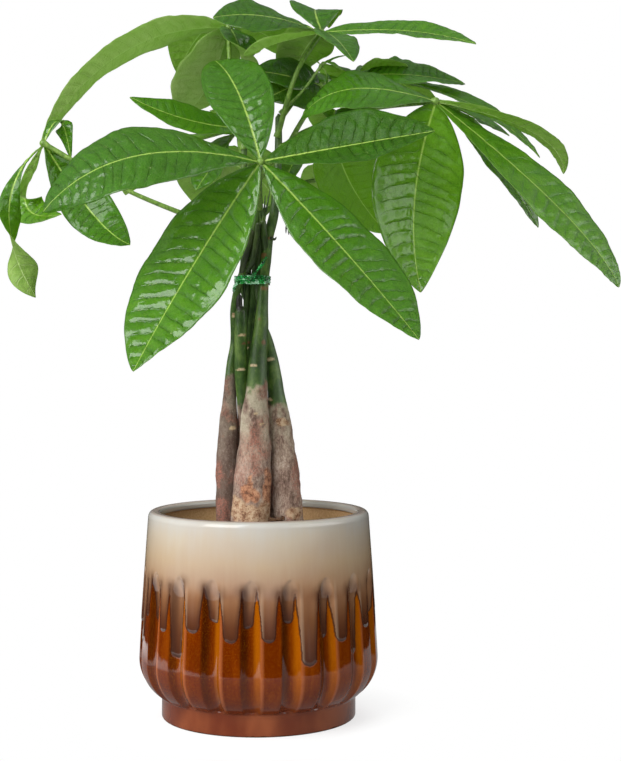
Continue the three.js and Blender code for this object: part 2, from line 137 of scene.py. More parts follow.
STEMS = {
    "trunk_1": [
        (-24, 2, 124, 6.2), (-23, 2, 150, 7.3), (-22, 2, 184, 7.9), (-21, 2, 207, 6.3),
        (-20, 3, 228, 4.2), (-20, 6, 241, 3.3), (-17, 8, 263, 2.9), (-17, 4, 285, 2.6),
        (-13, -2, 305, 2.5), (-7, -5, 320, 2.4), (-3, -6, 338, 2.3), (1, -8, 358, 2.2),
    ],
    "trunk_2": [
        (-12, 16, 124, 8.6), (-12, 15, 150, 8.2), (-11.5, 14, 175, 6.6), (-11.5, 10.5, 192, 5.2),
        (-10.2, 3, 208, 4.7), (-11, -3, 226, 4.5), (-12, -5, 242, 4.5), (-12, -6, 264, 4.5),
        (-12, -6, 283, 4.2), (-13, -6, 287, 2.2), (-13, -6, 296, 1.9),
    ],
    "trunk_3": [
        (-6, -14, 124, 13.2), (-5, -14, 145, 13.5), (-3, -14, 174, 12.1), (-2, -13, 192, 10.7),
        (-2, -12, 214, 9.1), (-1, -11, 229, 7.4), (0, -9, 250, 6.1), (2, -7, 271, 5.1),
        (3, -4, 291, 3.9), (4, -3, 305, 3.2), (5, -3, 318, 3.9), (7, -2, 335, 3.4), (11, 0, 352, 3.2),
        (13, 2, 376, 2.9), (14, 5, 400, 2.6), (14, 7, 422, 2.2),
    ],
    "trunk_4": [
        (9, 17, 124, 8), (9, 16, 150, 7.8), (6, 15, 175, 6.4), (1, 15, 200, 4.8), (-5, 12, 226, 3.4),
        (-8, 10, 243, 2.8), (-7, 8, 263, 2.8), (-4, 4, 285, 2.8), (-3, 3, 305, 2.6), (-1, 4, 322, 2.5),
        (1, 8, 345, 2.4), (0, 13, 370, 2.3), (-1, 18, 392, 2.1),
    ],
    "trunk_5": [
        (20, -2, 124, 11.3), (20, -2, 145, 11.2), (18, -2, 172, 10.1), (16, -1, 191, 9),
        (14, 0, 210, 7.8), (12, 2, 228, 5.8), (9, 5, 249, 4.7), (4, 10, 268, 3.7), (-4, 12, 285, 3),
        (-10, 9, 297, 2.7), (-11, 6, 305, 2.6), (-10, 4, 322, 2.6), (-9, 3, 345, 2.5),
        (-10, 2, 372, 2.3), (-10, 1, 400, 2),
    ],
}
# A leaf's stalk runs from its root over its bow to its hub, and its leaflets' upper sides look towards
# its face. A leaflet is (its middle, its tip, its width, its other traits), with the places from the hub.
# Its traits are how far along it is widest, its roll and twist and how far its halves fold up.
LEAVES = [
    (dict(root=(1, -8, 355), bow=(2, -50, 370), hub=(4, -78, 380), face=(0, -0.8, 0.6)), [
        ((-16, 28, 49), (-34, 75, 77), 44, dict(fold=11)),
        ((-80, -30, 0), (-138, -22, -34), 58, dict(widest=0.53, roll=11, twist=-8, fold=-3)),
        ((-44, -10, -69), (-78, -48, -135), 68, dict(roll=7, twist=14, fold=6)),
        ((54, -24, -59), (99, -61, -115), 56, dict(widest=0.54, roll=-4, twist=-23, fold=4)),
        ((56, -1, 10), (112, -14, 18), 48, dict(widest=0.54, roll=-6, fold=17)),
    ]),
    (dict(root=(14, 5, 398), bow=(70, -18, 420), hub=(121, -35, 425), face=(0.35, -0.5, 0.8)), [
        ((-14, 4, -67), (-11, -17, -129), 63, dict(widest=0.42, roll=7, twist=12)),
        ((-58, -7, 7), (-91, 4, -11), 56, dict(fold=-2)),
        ((82, -20, -75), (120, -24, -126), 45, dict(widest=0.45, roll=4, twist=7, fold=2)),
        ((68, 10, -20), (96, 62, -43), 20, dict(widest=0.4, roll=-46, twist=16)),
        ((24, 14, -7), (51, 11, -22), 28, dict(roll=-11, twist=4)),
        ((38, 15, -35), (72, 17, -84), 40, {}),
    ]),
    (dict(root=(13, 2, 405), bow=(27, -5, 449), hub=(44, 10, 479), face=(0, -0.35, 0.9)), [
        ((-39, -13, 9), (-75, -18, 7), 43, dict(widest=0.62, roll=-8, twist=-13, fold=-1)),
        ((59, 4, 2), (106, -24, -12), 29, dict(widest=0.47, roll=12, twist=-6)),
        ((10, -31, -10), (21, -55, -29), 29, dict(roll=-14)),
        ((-26, -31, -11), (-53, -37, -22), 28, dict(widest=0.62, roll=24, twist=9)),
        ((-4, 26, 21), (6, 58, 14), 38, dict(roll=8)),
        ((-12, 36, -6), (-30, 58, -38), 40, dict(roll=25)),
    ]),
    (dict(root=(-10, 1, 396), bow=(-20, 12, 455), hub=(-22, 25, 486), face=(0, 0.1, 1)), [
        ((-76, -7, -20), (-132, -8, -83), 42, dict(widest=0.37, roll=7, twist=7, fold=5)),
        ((-15, 9, -39), (-37, 35, -60), 62, dict(widest=0.38, roll=-4, twist=-6)),
        ((8, -10, -17), (12, -10, -44), 40, {}),
        ((30, 34, -2), (58, 64, -26), 40, {}),
        ((-22, 52, 6), (-44, 96, -18), 46, {}),
    ]),
    (dict(root=(-9, 3, 335), bow=(-92, -3, 368), hub=(-149, -5, 400), face=(-0.3, -0.4, 0.85)), [
        ((-20, -23, -48), (-4, -12, -107), 27, dict(widest=0.74, roll=28, twist=-213)),
        ((-17, 27, -40), (14, -12, -50), 26, dict(roll=6, twist=11)),
        ((34, 2, -49), (64, -39, -72), 34, dict(widest=0.41, roll=7, twist=6)),
        ((10, 10, 16), (17, 13, -9), 14, {}),
    ]),
    (dict(root=(-10, 1, 388), bow=(-14, 14, 404), hub=(-14, 24, 414), face=(0, -0.3, 0.9)), [
        ((-38, -21, 4), (-75, -28, 18), 34, dict(widest=0.39, roll=-24)),
        ((-16, 5, -21), (-31, -1, -44), 44, {}),
        ((-30, 6, -8), (-62, 4, -16), 36, {}),
        ((-2, 52, 18), (-10, 100, 6), 44, {}),
    ]),
    (dict(root=(0, 15, 378), bow=(24, 32, 408), hub=(52, 45, 422), face=(0, -0.2, 0.9)), [
        ((12, 6, -42), (40, 6, -81), 71, dict(roll=32, fold=12)),
        ((-21, 5, -18), (-35, 0, -48), 36, {}),
        ((36, 44, 2), (70, 72, -30), 46, {}),
        ((5, 60, 12), (6, 108, -20), 48, {}),
    ]),
    (dict(root=(13, 3, 386), bow=(40, 24, 432), hub=(69, 40, 453), face=(0.1, -0.2, 1)), [
        ((37, -14, -1), (79, 2, -5), 55, dict(widest=0.39, roll=17, fold=7)),
        ((15, -3, 7), (38, -3, 6), 30, dict(widest=0.56, roll=-3, twist=-18)),
        ((32, 40, 4), (66, 70, -24), 44, {}),
        ((-3, 60, 10), (-4, 106, -14), 46, {}),
        ((76, -14, -19), (129, -28, -61), 25, dict(roll=14, twist=-8)),
    ]),
    (dict(root=(14, 7, 417), bow=(30, 24, 438), hub=(45, 30, 445), face=(-0.1, -0.5, 0.8)), [
        ((-18, -8, -1), (-40, -14, -12), 46, dict(roll=-30)),
        ((-27, -8, 6), (-48, -14, 8), 30, dict(roll=-20)),
        ((13, 34, 10), (30, 66, 6), 36, {}),
    ]),
    (dict(root=(-1, 18, 386), bow=(-26, 64, 398), hub=(-46, 96, 398), face=(-0.3, 0.5, 0.8)), [
        ((-46, 10, 4), (-84, 12, -14), 44, {}),
        ((-38, 52, 6), (-68, 92, -18), 54, {}),
        ((4, 58, -2), (6, 100, -42), 56, {}),
        ((36, 24, -6), (58, 40, -34), 44, {}),
    ]),
    (dict(root=(1, 9, 350), bow=(30, 60, 378), hub=(60, 92, 384), face=(0.3, 0.5, 0.8)), [
        ((48, 14, 2), (88, 18, -22), 46, {}),
        ((40, 50, 2), (68, 90, -32), 54, {}),
        ((-6, 56, -6), (-14, 98, -52), 56, {}),
    ]),
    (dict(root=(15, 5, 422), bow=(31, 0, 437), hub=(44, -3, 454), face=(0, -0.2, 1), size=YOUNG), [
        ((-5, -2, 3), (-9, -4, 2), 5, {}),
        ((5, -6, 1), (14, -12, -5), 6, {}),
        ((4, 2, -7), (5, 2, -14), 6, {}),
        ((8, 4, 5), (17, 6, 8), 6, {}),
    ]),
]


# Small helpers

def paint(colour):
    """The linear values that shaders take, from (red, green, blue) as read off the photograph or from a
    linear grey. Linear colours and wires stay as they are."""
    if isinstance(colour, float):
        return (colour, colour, colour, 1.0)
    if not isinstance(colour, tuple) or len(colour) == 4:
        return colour
    levels = [v / 255 for v in colour]
    return (*(v / 12.92 if v <= 0.04045 else ((v + 0.055) / 1.055) ** 2.4 for v in levels), 1.0)


def unit(v):
    """Vectors scaled to length 1, along the last axis."""
    return v / np.maximum(np.linalg.norm(v, axis=-1, keepdims=True), 1e-9)


def smooth(low, high, x):
    """0 below low, 1 above high and a smooth step between them."""
    t = np.clip((x - low) / (high - low), 0, 1)
    return t * t * (3 - 2 * t)


def circle(count):
    """Evenly spaced turns round a full circle, in radians."""
    return np.arange(count) * 2 * np.pi / count


def quarter(steps):
    """Evenly spaced turns through a quarter circle with both its ends, in radians."""
    return [0.5 * math.pi * k / steps for k in range(steps + 1)]


def hashed(cell, seed):
    """A fixed number from -1 to 1 for each whole-numbered cell (x, y, z)."""
    mixed = cell[..., 0] * 73856093 ^ cell[..., 1] * 19349663 ^ cell[..., 2] * 83492791 ^ seed * 2654435761
    mixed = mixed & 0xffffffff
    mixed = (mixed ^ (mixed >> 15)) * 2246822519 & 0xffffffff
    mixed = (mixed ^ (mixed >> 13)) * 3266489917 & 0xffffffff
    mixed = mixed ^ (mixed >> 16)
    return (mixed & 0xffff) / 32767.5 - 1


def noise(points, scale, seed=0, octaves=3):
    """Smooth noise from about -1 to 1 whose largest lumps are scale long."""
    p = np.asarray(points, float) / scale
    total = np.zeros(p.shape[:-1])
    for octave in range(octaves):
        cell = np.floor(p).astype(np.int64)
        part = p - cell
        part = part * part * (3 - 2 * part)
        for corner in itertools.product((0, 1), repeat=3):
            step = np.array(corner)
            weight = np.prod(np.where(step == 1, part, 1 - part), axis=-1)
            total += weight * hashed(cell + step, seed + octave) * 0.5 ** octave
        p = p * 2.03 + 5.1
    return total


def make_mesh(name, points, faces, materials, floats, slots):
    """A smooth-shaded object from points in mm, quads and triangles, named numbers at its points and the
    material of each face."""
    mesh = bpy.data.meshes.new(name)
    groups = [np.asarray(group, np.int32) for group in faces]
    corners = np.concatenate([group.ravel() for group in groups])
    totals = np.concatenate([np.full(len(group), group.shape[1], np.int32) for group in groups])
    starts = np.concatenate([[0], np.cumsum(totals)[:-1]]).astype(np.int32)
    mesh.vertices.add(len(points))
    mesh.vertices.foreach_set("co", (np.asarray(points, np.float32) * MM).ravel())
    mesh.loops.add(len(corners))
    mesh.loops.foreach_set("vertex_index", corners)
    mesh.polygons.add(len(totals))
    mesh.polygons.foreach_set("loop_start", starts)
    mesh.polygons.foreach_set("loop_total", totals)
    mesh.polygons.foreach_set("use_smooth", np.ones(len(totals), bool))
    for material in materials:
        mesh.materials.append(material)
    mesh.polygons.foreach_set("material_index", np.broadcast_to(slots, len(totals)).astype(np.int32))
    for key, values in floats.items():
        layer = mesh.attributes.new(key, "FLOAT", "POINT")
        layer.data.foreach_set("value", np.asarray(values, np.float32))
    mesh.update(calc_edges=True)
    mesh.validate()
    piece = bpy.data.objects.new(name, mesh)
    bpy.context.collection.objects.link(piece)
    return piece


def ring_faces(rings, sides):
    """Quads between rings of points, and a fan of triangles at the first and at the last ring.
    The fans' middle points come right after the rings' own points."""
    row, side = np.meshgrid(np.arange(rings - 1), np.arange(sides), indexing="ij")
    beside = (side + 1) % sides
    here, above = row * sides, (row + 1) * sides
    quads = np.stack([here + side, here + beside, above + beside, above + side], -1)
    k = np.arange(sides)
    after = (k + 1) % sides
    last = (rings - 1) * sides
    low = np.stack([np.full(sides, rings * sides), after, k], -1)
    high = np.stack([np.full(sides, rings * sides + 1), last + k, last + after], -1)
    return quads.reshape(-1, 4), np.concatenate([low, high])


def body(rings, **more):
    """A closed body from a stack of rings of points. more can be its floats, and the material slot of
    its quads and of its ends."""
    quads, ends = ring_faces(*rings.shape[:2])
    points = np.concatenate([rings.reshape(-1, 3), [rings[0].mean(0), rings[-1].mean(0)]])
    return {"points": points, "quads": quads, "triangles": ends, **more}


def keep(name, parts, materials, node):
    """Makes one piece of the plant from its bodies and finishes, hangs it on the root body and hides the
    solid that it stands for.
    """
    starts = np.cumsum([0] + [len(part["points"]) for part in parts])
    faces = [
        np.concatenate([part[kind] + start for part, start in zip(parts, starts)])
        for kind in ("quads", "triangles")
    ]
    slots = np.concatenate([
        np.broadcast_to(part.get(key, 0), len(part[kind]))
        for kind, key in (("quads", "slot"), ("triangles", "slot_ends"))
        for part in parts
    ])
    floats = {}
    for key in dict.fromkeys(key for part in parts for key in part.get("floats", {})):
        floats[key] = np.concatenate([
            np.broadcast_to(part.get("floats", {}).get(key, 0.0), len(part["points"])) for part in parts
        ])
    points = np.concatenate([part["points"] for part in parts])
    piece = make_mesh(name, points, faces, materials, floats, slots)
    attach(piece, "root")
    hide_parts(node)


class Wire:
    """An output of a shader node. Arithmetic on wires makes math nodes."""

    def __init__(self, look, socket):
        self.look = look
        self.socket = socket

    def __add__(self, other):
        return self.look.math("ADD", self, other)

    def __sub__(self, other):
        return self.look.math("SUBTRACT", self, other)

    def __rsub__(self, other):
        return self.look.math("SUBTRACT", other, self)

    def __mul__(self, other):
        return self.look.math("MULTIPLY", self, other)

    def __truediv__(self, other):
        return self.look.math("DIVIDE", self, other)

    def __abs__(self):
        return self.look.math("ABSOLUTE", self)

    __rmul__ = __mul__


class Look:
    """Builds the nodes of a new material or world with short calls that each return a wire.
    Colours are (red, green, blue) as read off the photograph, or linear ones with a fourth value."""

    def __init__(self, owner):
        owner.use_nodes = True
        self.owner = owner
        self.tree = owner.node_tree
        self.shader = self.tree.nodes.get("Principled BSDF")

    def feed(self, socket, value):
        if isinstance(value, Wire):
            self.tree.links.new(value.socket, socket)
        else:
            socket.default_value = value

    def set(self, **values):
        """Sets inputs of the Principled shader and returns its output."""
        for key, value in values.items():
            self.feed(self.shader.inputs[key.replace("_", " ")], value)
        return Wire(self, self.shader.outputs[0])

    def node(self, kind, output=0, inputs=None, **settings):
        made = self.tree.nodes.new("ShaderNode" + kind)
        for key, value in settings.items():
            setattr(made, key, value)
        for key, value in (inputs or {}).items():
            self.feed(made.inputs[key], value)
        return Wire(self, made.outputs[output])

    def math(self, operation, a, b=0.0):
        return self.node("Math", 0, {0: a, 1: b}, operation=operation)

    def attribute(self, name):
        return self.node("Attribute", "Fac", attribute_name=name)

    def place(self):
        """Object coordinates, in metres."""
        return self.node("TexCoord", "Object")

    def part(self, vector, axis):
        return self.node("SeparateXYZ", axis, {"Vector": vector})

    def level(self):
        """The height over the floor, in mm."""
        return self.part(self.place(), "Z") * 1000

    def toward(self, vector, direction):
        """How far a vector points in a direction."""
        return self.node("VectorMath", "Value", {0: vector, 1: direction}, operation="DOT_PRODUCT")

    def noise(self, scale, detail=3, roughness=0.55, upright=1, distortion=0):
        """Noise with scale lumps a metre, from 0 to 1. upright is that scale's share along Z."""
        vector = self.place()
        if upright != 1:
            vector = self.node("VectorMath", 0, {0: vector, 1: (1, 1, upright)}, operation="MULTIPLY")
        values = {"Scale": scale, "Detail": detail, "Roughness": roughness, "Distortion": distortion}
        return self.node("TexNoise", "Fac", {"Vector": vector, **values})

    def cells(self, scale, output="Distance", feature="F1"):
        """Cells, scale of them a metre."""
        return self.node("TexVoronoi", output, {"Vector": self.place(), "Scale": scale}, feature=feature)

    def scale(self, value, low, high, new_low=0, new_high=1, kind="LINEAR"):
        """value with low to high stretched to new_low to new_high, and held there beyond them."""
        values = {"Value": value, "From Min": low, "From Max": high, "To Min": new_low, "To Max": new_high}
        return self.node("MapRange", "Result", values, interpolation_type=kind)

    def step(self, value, low, high):
        """0 below low and 1 above high, or the other way round where low is the larger."""
        return self.scale(value, low, high, kind="SMOOTHSTEP")

    def ramp(self, value, *stops):
        """A colour for value, through stops that are (position, colour)."""
        colour = self.node("ValToRGB", "Color", {"Fac": value})
        spots = colour.socket.node.color_ramp.elements
        while len(spots) < len(stops):
            spots.new(0.5)
        for spot, (position, paint_there) in zip(spots, stops):
            spot.position = position
            spot.color = paint(paint_there)
        return colour

    def layers(self, colour, *coats):
        """A colour with coats over it, each as (its share, its colour)."""
        for share, coat in coats:
            inputs = {0: share, 6: paint(colour), 7: paint(coat)}
            colour = self.node("Mix", 2, inputs, data_type="RGBA")
        return colour

    def bump(self, height, distance, strength=1):
        values = {"Height": height, "Distance": distance, "Strength": strength}
        return self.node("Bump", "Normal", values)

    def blend(self, share, under, over):
        return self.node("MixShader", 0, {0: share, 1: under, 2: over})

    def end(self, surface, output="Material Output"):
        self.feed(self.tree.nodes[output].inputs["Surface"], surface)

    def by_ray(self, seen, mirrored, lit):
        """What the camera sees, what reflections see and what lights everything else."""
        unseen = self.blend(self.node("LightPath", "Is Glossy Ray"), lit, mirrored)
        return self.blend(self.node("LightPath", "Is Camera Ray"), unseen, seen)


def material(name):
    return Look(bpy.data.materials.new(name))


# Studio: camera, pale floor and soft lights

def build_camera():
    data = bpy.data.cameras.new("camera")
    data.lens = CAMERA_LENS
    data.sensor_width = CAMERA_SENSOR
    camera = bpy.data.objects.new("camera", data)
    camera.location = CAMERA_PLACE
    camera.rotation_euler = (math.radians(CAMERA_PITCH), 0, 0)
    bpy.context.collection.objects.link(camera)
    bpy.context.scene.camera = camera


def area_light(name, place, aim, width, height, power):
    data = bpy.data.lights.new(name, "AREA")
    data.shape = "RECTANGLE"
    data.size = width
    data.size_y = height
    data.energy = power
    light = bpy.data.objects.new(name, data)
    light.location = place
    away = unit(np.subtract(place, aim))
    light.rotation_euler = (math.acos(away[2]), 0, math.atan2(away[0], -away[1]))
    bpy.context.collection.objects.link(light)
    return light


def build_floor():
    """White paper to the camera, with a soft shadow round the foot. Reflections see it glow as a painted pool
    of light near the pot only, with a painted glare at the left."""
    look = material("studio_paper")
    paper = look.set(Base_Color=(0.5, 0.5, 0.5, 1), Roughness=0.9)
    away = look.node("VectorMath", "Value", {0: look.place()}, operation="LENGTH")
    seen = look.node("Emission", 0, {"Color": WHITE, "Strength": 1})
    shaded = look.node("BsdfDiffuse", 0, {"Color": WHITE})
    ragged = 0.17 * (look.noise(13, 2) - 0.5)
    # Painted pool of light and painted glare on the floor, seen only in reflections
    lit = look.ramp(away + ragged, (0, 0.3), (0.3, 0.5), (0.4, 0.6), (0.43, 0.01), (1, 0.0))
    glare = look.step(look.part(look.place(), "X"), -0.1, -0.3) * look.step(away, 0.26, 0.36)
    mirrored = look.node("Emission", 0, {"Color": lit, "Strength": look.scale(glare, 0, 1, 1, 2.8)})
    shadow = look.blend(look.scale(away, 0.075, 0.125, 0.7, 1), shaded, seen)
    look.end(look.by_ray(shadow, mirrored, paper))
    turn = circle(FLOOR_SIDES)
    round_once = np.stack([np.cos(turn), np.sin(turn), np.zeros(FLOOR_SIDES)], -1)
    rings = np.array(FLOOR_RADII)[:, None, None] / MM * round_once
    points = np.concatenate([rings.reshape(-1, 3), np.zeros((1, 3))])
    quads, fans = ring_faces(len(FLOOR_RADII), FLOOR_SIDES)
    faces = [quads[:, ::-1], fans[:FLOOR_SIDES, ::-1]]
    make_mesh("floor", points, faces, [look.owner], {}, 0)


def build_world():
    """White to the camera. Reflections see a dim room with a bright card on each side, light above, a lamp
    in front on the left and a window on the right. All else is lit softly from the front left."""
    world = bpy.data.worlds.new("studio")
    bpy.context.scene.world = world
    look = Look(world)
    direction = look.node("TexCoord", "Generated")
    across = look.part(direction, "X")
    height = look.part(direction, "Z")
    cards = look.math("MAXIMUM", look.step(across, 0.55, 0.95), look.step(across, -0.75, -0.97))
    lamp = look.step(look.toward(direction, LAMP_SIDE), 0.45, 0.95) * look.step(height, 0, 0.2)
    window = look.step(look.toward(direction, WINDOW_SIDE), 0.76, 0.94) * look.step(height, 0.02, 0.14)
    room = 0.6 * cards + 0.28 * look.step(height, 0.1, 0.6) + 0.6 * lamp + 2.4 * window + 0.004
    front = 1.1 * look.step(look.toward(direction, LIT_SIDE), -0.25, 0.9) + 0.28
    seen, mirrored, lit = (
        look.node("Background", 0, {"Color": colour, "Strength": strength})
        for colour, strength in ((WHITE, 1), (room, 1), (WHITE, front))
    )
    look.end(look.by_ray(seen, mirrored, lit), "World Output")


def build_studio():
    build_camera()
    build_floor()
    build_world()
    area_light("key", **KEY_LIGHT)
    area_light("top_back", **BACK_LIGHT).visible_glossy = False
    bpy.context.scene.view_settings.view_transform = "Standard"


# Pot

def wall_radius(z):
    drop = SHOULDER_ARC * np.clip((BELLY_HEIGHT - z) / (BELLY_HEIGHT - FOOT_HEIGHT), 0, 1)
    share = (1 - np.sqrt(1 - drop ** 2)) / (1 - math.sqrt(1 - SHOULDER_ARC ** 2))
    low = BELLY_RADIUS - (BELLY_RADIUS - FOOT_RADIUS) * share
    rise = np.clip((z - BELLY_HEIGHT) / (POT_HEIGHT - BELLY_HEIGHT), 0, 1)
    high = BELLY_RADIUS - (BELLY_RADIUS - RIM_RADIUS) * rise ** 1.1
    return np.where(z <= FOOT_HEIGHT, FOOT_RADIUS, np.where(z < BELLY_HEIGHT, low, high))


def pot_columns():
    """Degrees from the front of each column, closer together at the flutes' edges."""
    half = FLUTE_HALF_ANGLE
    edge = np.array([-0.55, -0.25, 0, 0.25, 0.55])
    clear = 0.95
    inside = np.linspace(-half + clear, half - clear, 9)
    panel = np.linspace(half + clear, FLUTE_PITCH - half - clear, 9)
    local = np.concatenate([edge - half, inside, edge + half, panel])
    return np.concatenate([FLUTE_SHIFT + k * FLUTE_PITCH + local for k in range(FLUTES)])


def flute_sink(azimuth, z):
    """How far the wall sinks at the flutes, and their left side, right side and right edge as fields, which
    carry painted shade, painted light and a painted highlight.
    """
    off = (azimuth - FLUTE_SHIFT + FLUTE_PITCH / 2) % FLUTE_PITCH - FLUTE_PITCH / 2
    above = np.clip((z - (FLUTE_TOP - FLUTE_ARCH)) / FLUTE_ARCH, 0, 1)
    half = FLUTE_HALF_ANGLE * np.sqrt(np.maximum(1 - above ** 2, 1e-4))
    deep = FLUTE_DEPTH * (1 - (off / half) ** 2) * (1 - 0.75 * above)
    sink = FLUTE_SOFTNESS * np.log1p(np.exp(np.clip(deep / FLUTE_SOFTNESS, -30, 30)))
    sink = np.where(above >= 1, 0, sink) * smooth(FOOT_HEIGHT, FOOT_HEIGHT + 2, z)
    place = off / FLUTE_HALF_ANGLE
    return sink, {
        "left": smooth(-1.25, -0.8, place) * smooth(0.1, -0.6, place),
        "right": smooth(0.1, 0.6, place) * smooth(1.15, 0.85, place),
        "arris": smooth(0.88, 1.08, place) * smooth(1.35, 1.15, place),
    }


def drip_corners():
    """The pale glaze's tips and gaps right round the pot as (degrees, level), with a gap at each end."""
    rng = np.random.default_rng(7)
    corners = list(DRIPS)
    start, end = corners[-1][0], corners[0][0] + 360
    count = round((end - start) / (FLUTE_PITCH / 2))
    width = (end - start) / count
    for k in range(count):
        tip = start + (k + 0.5) * width + rng.uniform(-1, 1)
        corners.append((tip, rng.uniform(*HIDDEN_TIPS)))
        if k < count - 1:
            gap = start + (k + 1) * width + rng.uniform(-0.6, 0.6)
            corners.append((gap, rng.uniform(*HIDDEN_GAPS)))
    return corners + [(end, corners[0][1])]


def drip_outline(corners):
    """The lower edge of the pale glaze as (degrees, level), left to right. Each drip ends in a round tip."""
    line = []
    turn = np.linspace(0, np.pi / 2, 25)
    up = np.linspace(0, 1, 40)
    for left, tip, right in zip(corners[:-1:2], corners[1::2], corners[2::2]):
        round_high = 0.5 * TONGUE_ROUND * (right[0] - left[0]) * MM_PER_DEGREE
        bend = tip[1] + round_high
        for top, sign in ((left, -1), (right, 1)):
            wide = top[0] - tip[0]
            below = tip[0] + TONGUE_ROUND * wide * np.sin(turn)
            above = tip[0] + wide * (TONGUE_ROUND + (1 - TONGUE_ROUND) * up ** 1.4)
            level = [tip[1] + round_high * (1 - np.cos(turn)), bend + (top[1] - bend) * up]
            line.append(np.stack([np.concatenate([below, above]), np.concatenate(level)], -1)[::sign])
    return np.concatenate(line)


def nearest(spots, azimuth, z, near):
    """Distance in mm on the wall to the nearest of spots (degrees, level), worked out only where near."""
    tree = KDTree(len(spots))
    for k, (spot, level) in enumerate(spots):
        tree.insert((spot * MM_PER_DEGREE, level, 0), k)
    tree.balance()
    distance = np.full(azimuth.shape, FAR)
    for at in map(tuple, np.argwhere(near)):
        distance[at] = tree.find((azimuth[at] * MM_PER_DEGREE, z[at], 0))[2]
    return distance


def drip_fields(azimuth, z):
    """Distance in mm from the pale glaze's lower edge (above it positive), from the nearest gap top, and
    how high in its drip a place is, from 0 at the tip to 1 where the drips join."""
    corners = drip_corners()
    line = drip_outline(corners)
    tops, tips = np.array(corners[0::2]), np.array(corners[1::2])
    first = line[0, 0]
    turned = first + (azimuth - first) % 360
    around = np.concatenate([line, line - [360, 0], line + [360, 0]])
    around = around[(around[:, 0] > first - 12) & (around[:, 0] < first + 372)]
    order = np.argsort(around[:, 0])
    level = np.interp(turned, around[order, 0], around[order, 1])
    near = (z > DRIP_BAND[0]) & (z < DRIP_BAND[1])
    distance = nearest(around, turned, z, near)
    gap = nearest(np.concatenate([tops - [360, 0], tops, tops + [360, 0]]), turned, z, near)
    drip = np.clip(np.searchsorted(tops[:, 0], turned) - 1, 0, len(tips) - 1)
    joined = np.interp(turned, tops[:, 0], tops[:, 1])
    low = tips[drip, 1]
    return np.where(z > level, distance, -distance), gap, np.clip((z - low) / (joined - low), 0, 1)


def glaze_look():
    look = material("drip_glaze")
    z = look.level()
    drip = look.attribute("drip")
    gap = look.attribute("gap")
    hang = look.attribute("hang")
    streaks = look.noise(260, 4, 0.6, upright=0.09)
    clouds = look.noise(26, upright=0.5)
    edge = drip + 0.9 * (look.noise(420, 2) - 0.5)
    # Painted shade on each flute's left side and painted light on its right side; its right edge is paler
    # where the glaze breaks, with a painted highlight; all less so low down
    lower = look.scale(z, 22, 56, 0.35, 1)
    left = look.attribute("left") * lower
    right = look.attribute("right") * lower
    arris = look.attribute("arris")
    under_arch = look.step(z + 6 * (clouds - 0.5), FLUTE_TOP + 1, FLUTE_TOP - 9)
    # Pale glaze: grey white at the rim, beige on the shoulder, mauve brown in the drips
    pale = look.ramp(
        look.scale(z + 16 * (clouds - 0.5) + 7 * (streaks - 0.5), 50, 146),
        (0, (84, 50, 32)), (0.3, (98, 62, 42)), (0.46, (128, 90, 64)), (0.56, (156, 124, 96)),
        (0.7, (172, 150, 122)), (0.86, (178, 166, 148)), (1, (178, 177, 173)),
    )
    drip_brown = look.ramp(
        hang, (0, (60, 27, 14)), (0.3, (86, 48, 28)), (0.65, (118, 78, 50)), (1, (146, 108, 78)),
    )
    pale = look.layers(
        pale,
        (0.16 * look.step(look.noise(17, 2), 0.45, 0.66), (158, 146, 146)),
        (0.8 * look.step(drip, 11, 3) * look.step(hang, 1, 0.75), drip_brown),
        (0.5 * look.step(edge, 3.4, 0.3), (66, 40, 30)),
        # Under the arches: painted shade on the flutes' left sides, painted light on their right sides and a
        # painted highlight on their right edges
        (0.62 * left * under_arch, (56, 34, 26)),
        (0.25 * right * under_arch, (186, 142, 104)),
        (0.3 * arris * under_arch, (196, 166, 138)),
    )
    # Amber glaze with sugary specks, golden painted light on one side of each flute and deep painted shade on
    # the other
    amber = look.ramp(
        look.scale(clouds + 0.6 * streaks, 0.5, 1.1), (0, (78, 24, 0)), (0.5, (94, 32, 0)), (1, (120, 52, 1)),
    )
    foot = look.layers((98, 40, 16), (look.step(clouds, 0.35, 0.65), (134, 70, 38)))
    amber = look.layers(
        amber,
        (0.65 * right, (160, 86, 2)),
        (0.7 * left, (40, 12, 2)),
        (0.6 * arris, (164, 92, 52)),
        (0.3 * look.step(look.noise(2600, 2, 0.7), 0.57, 0.7), (226, 146, 30)),
        (0.6 * look.step(z, 30, 12), (104, 42, 18)),
        (look.step(z, FOOT_HEIGHT + 1, FOOT_HEIGHT - 1), foot),
    )
    # A worn rim, a thin dark line where the glazes meet, painted shade above each gap, and bare clay at
    # the foot's lower edge and inside the mouth
    clay = look.noise(900, 4, 0.7)
    bare = look.step(z + 4 * look.noise(140, 4, 0.65), 3.2, 2.6)
    inside = look.step(look.attribute("inside"), 0.45, 0.55)
    colour = look.layers(
        amber,
        (look.step(edge, -0.12, 0.12), pale),
        (0.45 * look.step(z, POT_HEIGHT - 1.2, POT_HEIGHT - 0.2), (146, 116, 100)),
        (0.85 * look.step(abs(edge + 0.1), 0.8, 0.15), (50, 28, 20)),
        # Painted shade above each gap top
        (0.4 * look.step(gap, 8, 0.5) * look.step(drip, -1, 1), (74, 46, 32)),
        (bare, look.ramp(clay, (0.3, (40, 22, 14)), (0.7, (104, 66, 42)))),
        (inside, look.ramp(clay, (0.3, (188, 146, 100)), (0.7, (220, 184, 138)))),
    )
    rough = look.math("MAXIMUM", inside, bare)
    relief = 0.25 * look.noise(700, 2) + 0.35 * streaks + 1.6 * clay * rough
    look.set(
        Base_Color=colour,
        Roughness=0.6 * rough + 0.3,
        Specular_IOR_Level=0,
        Coat_Weight=1 - rough,
        Coat_Roughness=0.04,
        Normal=look.bump(relief, 0.00012, 0.5),
    )
    return look.owner


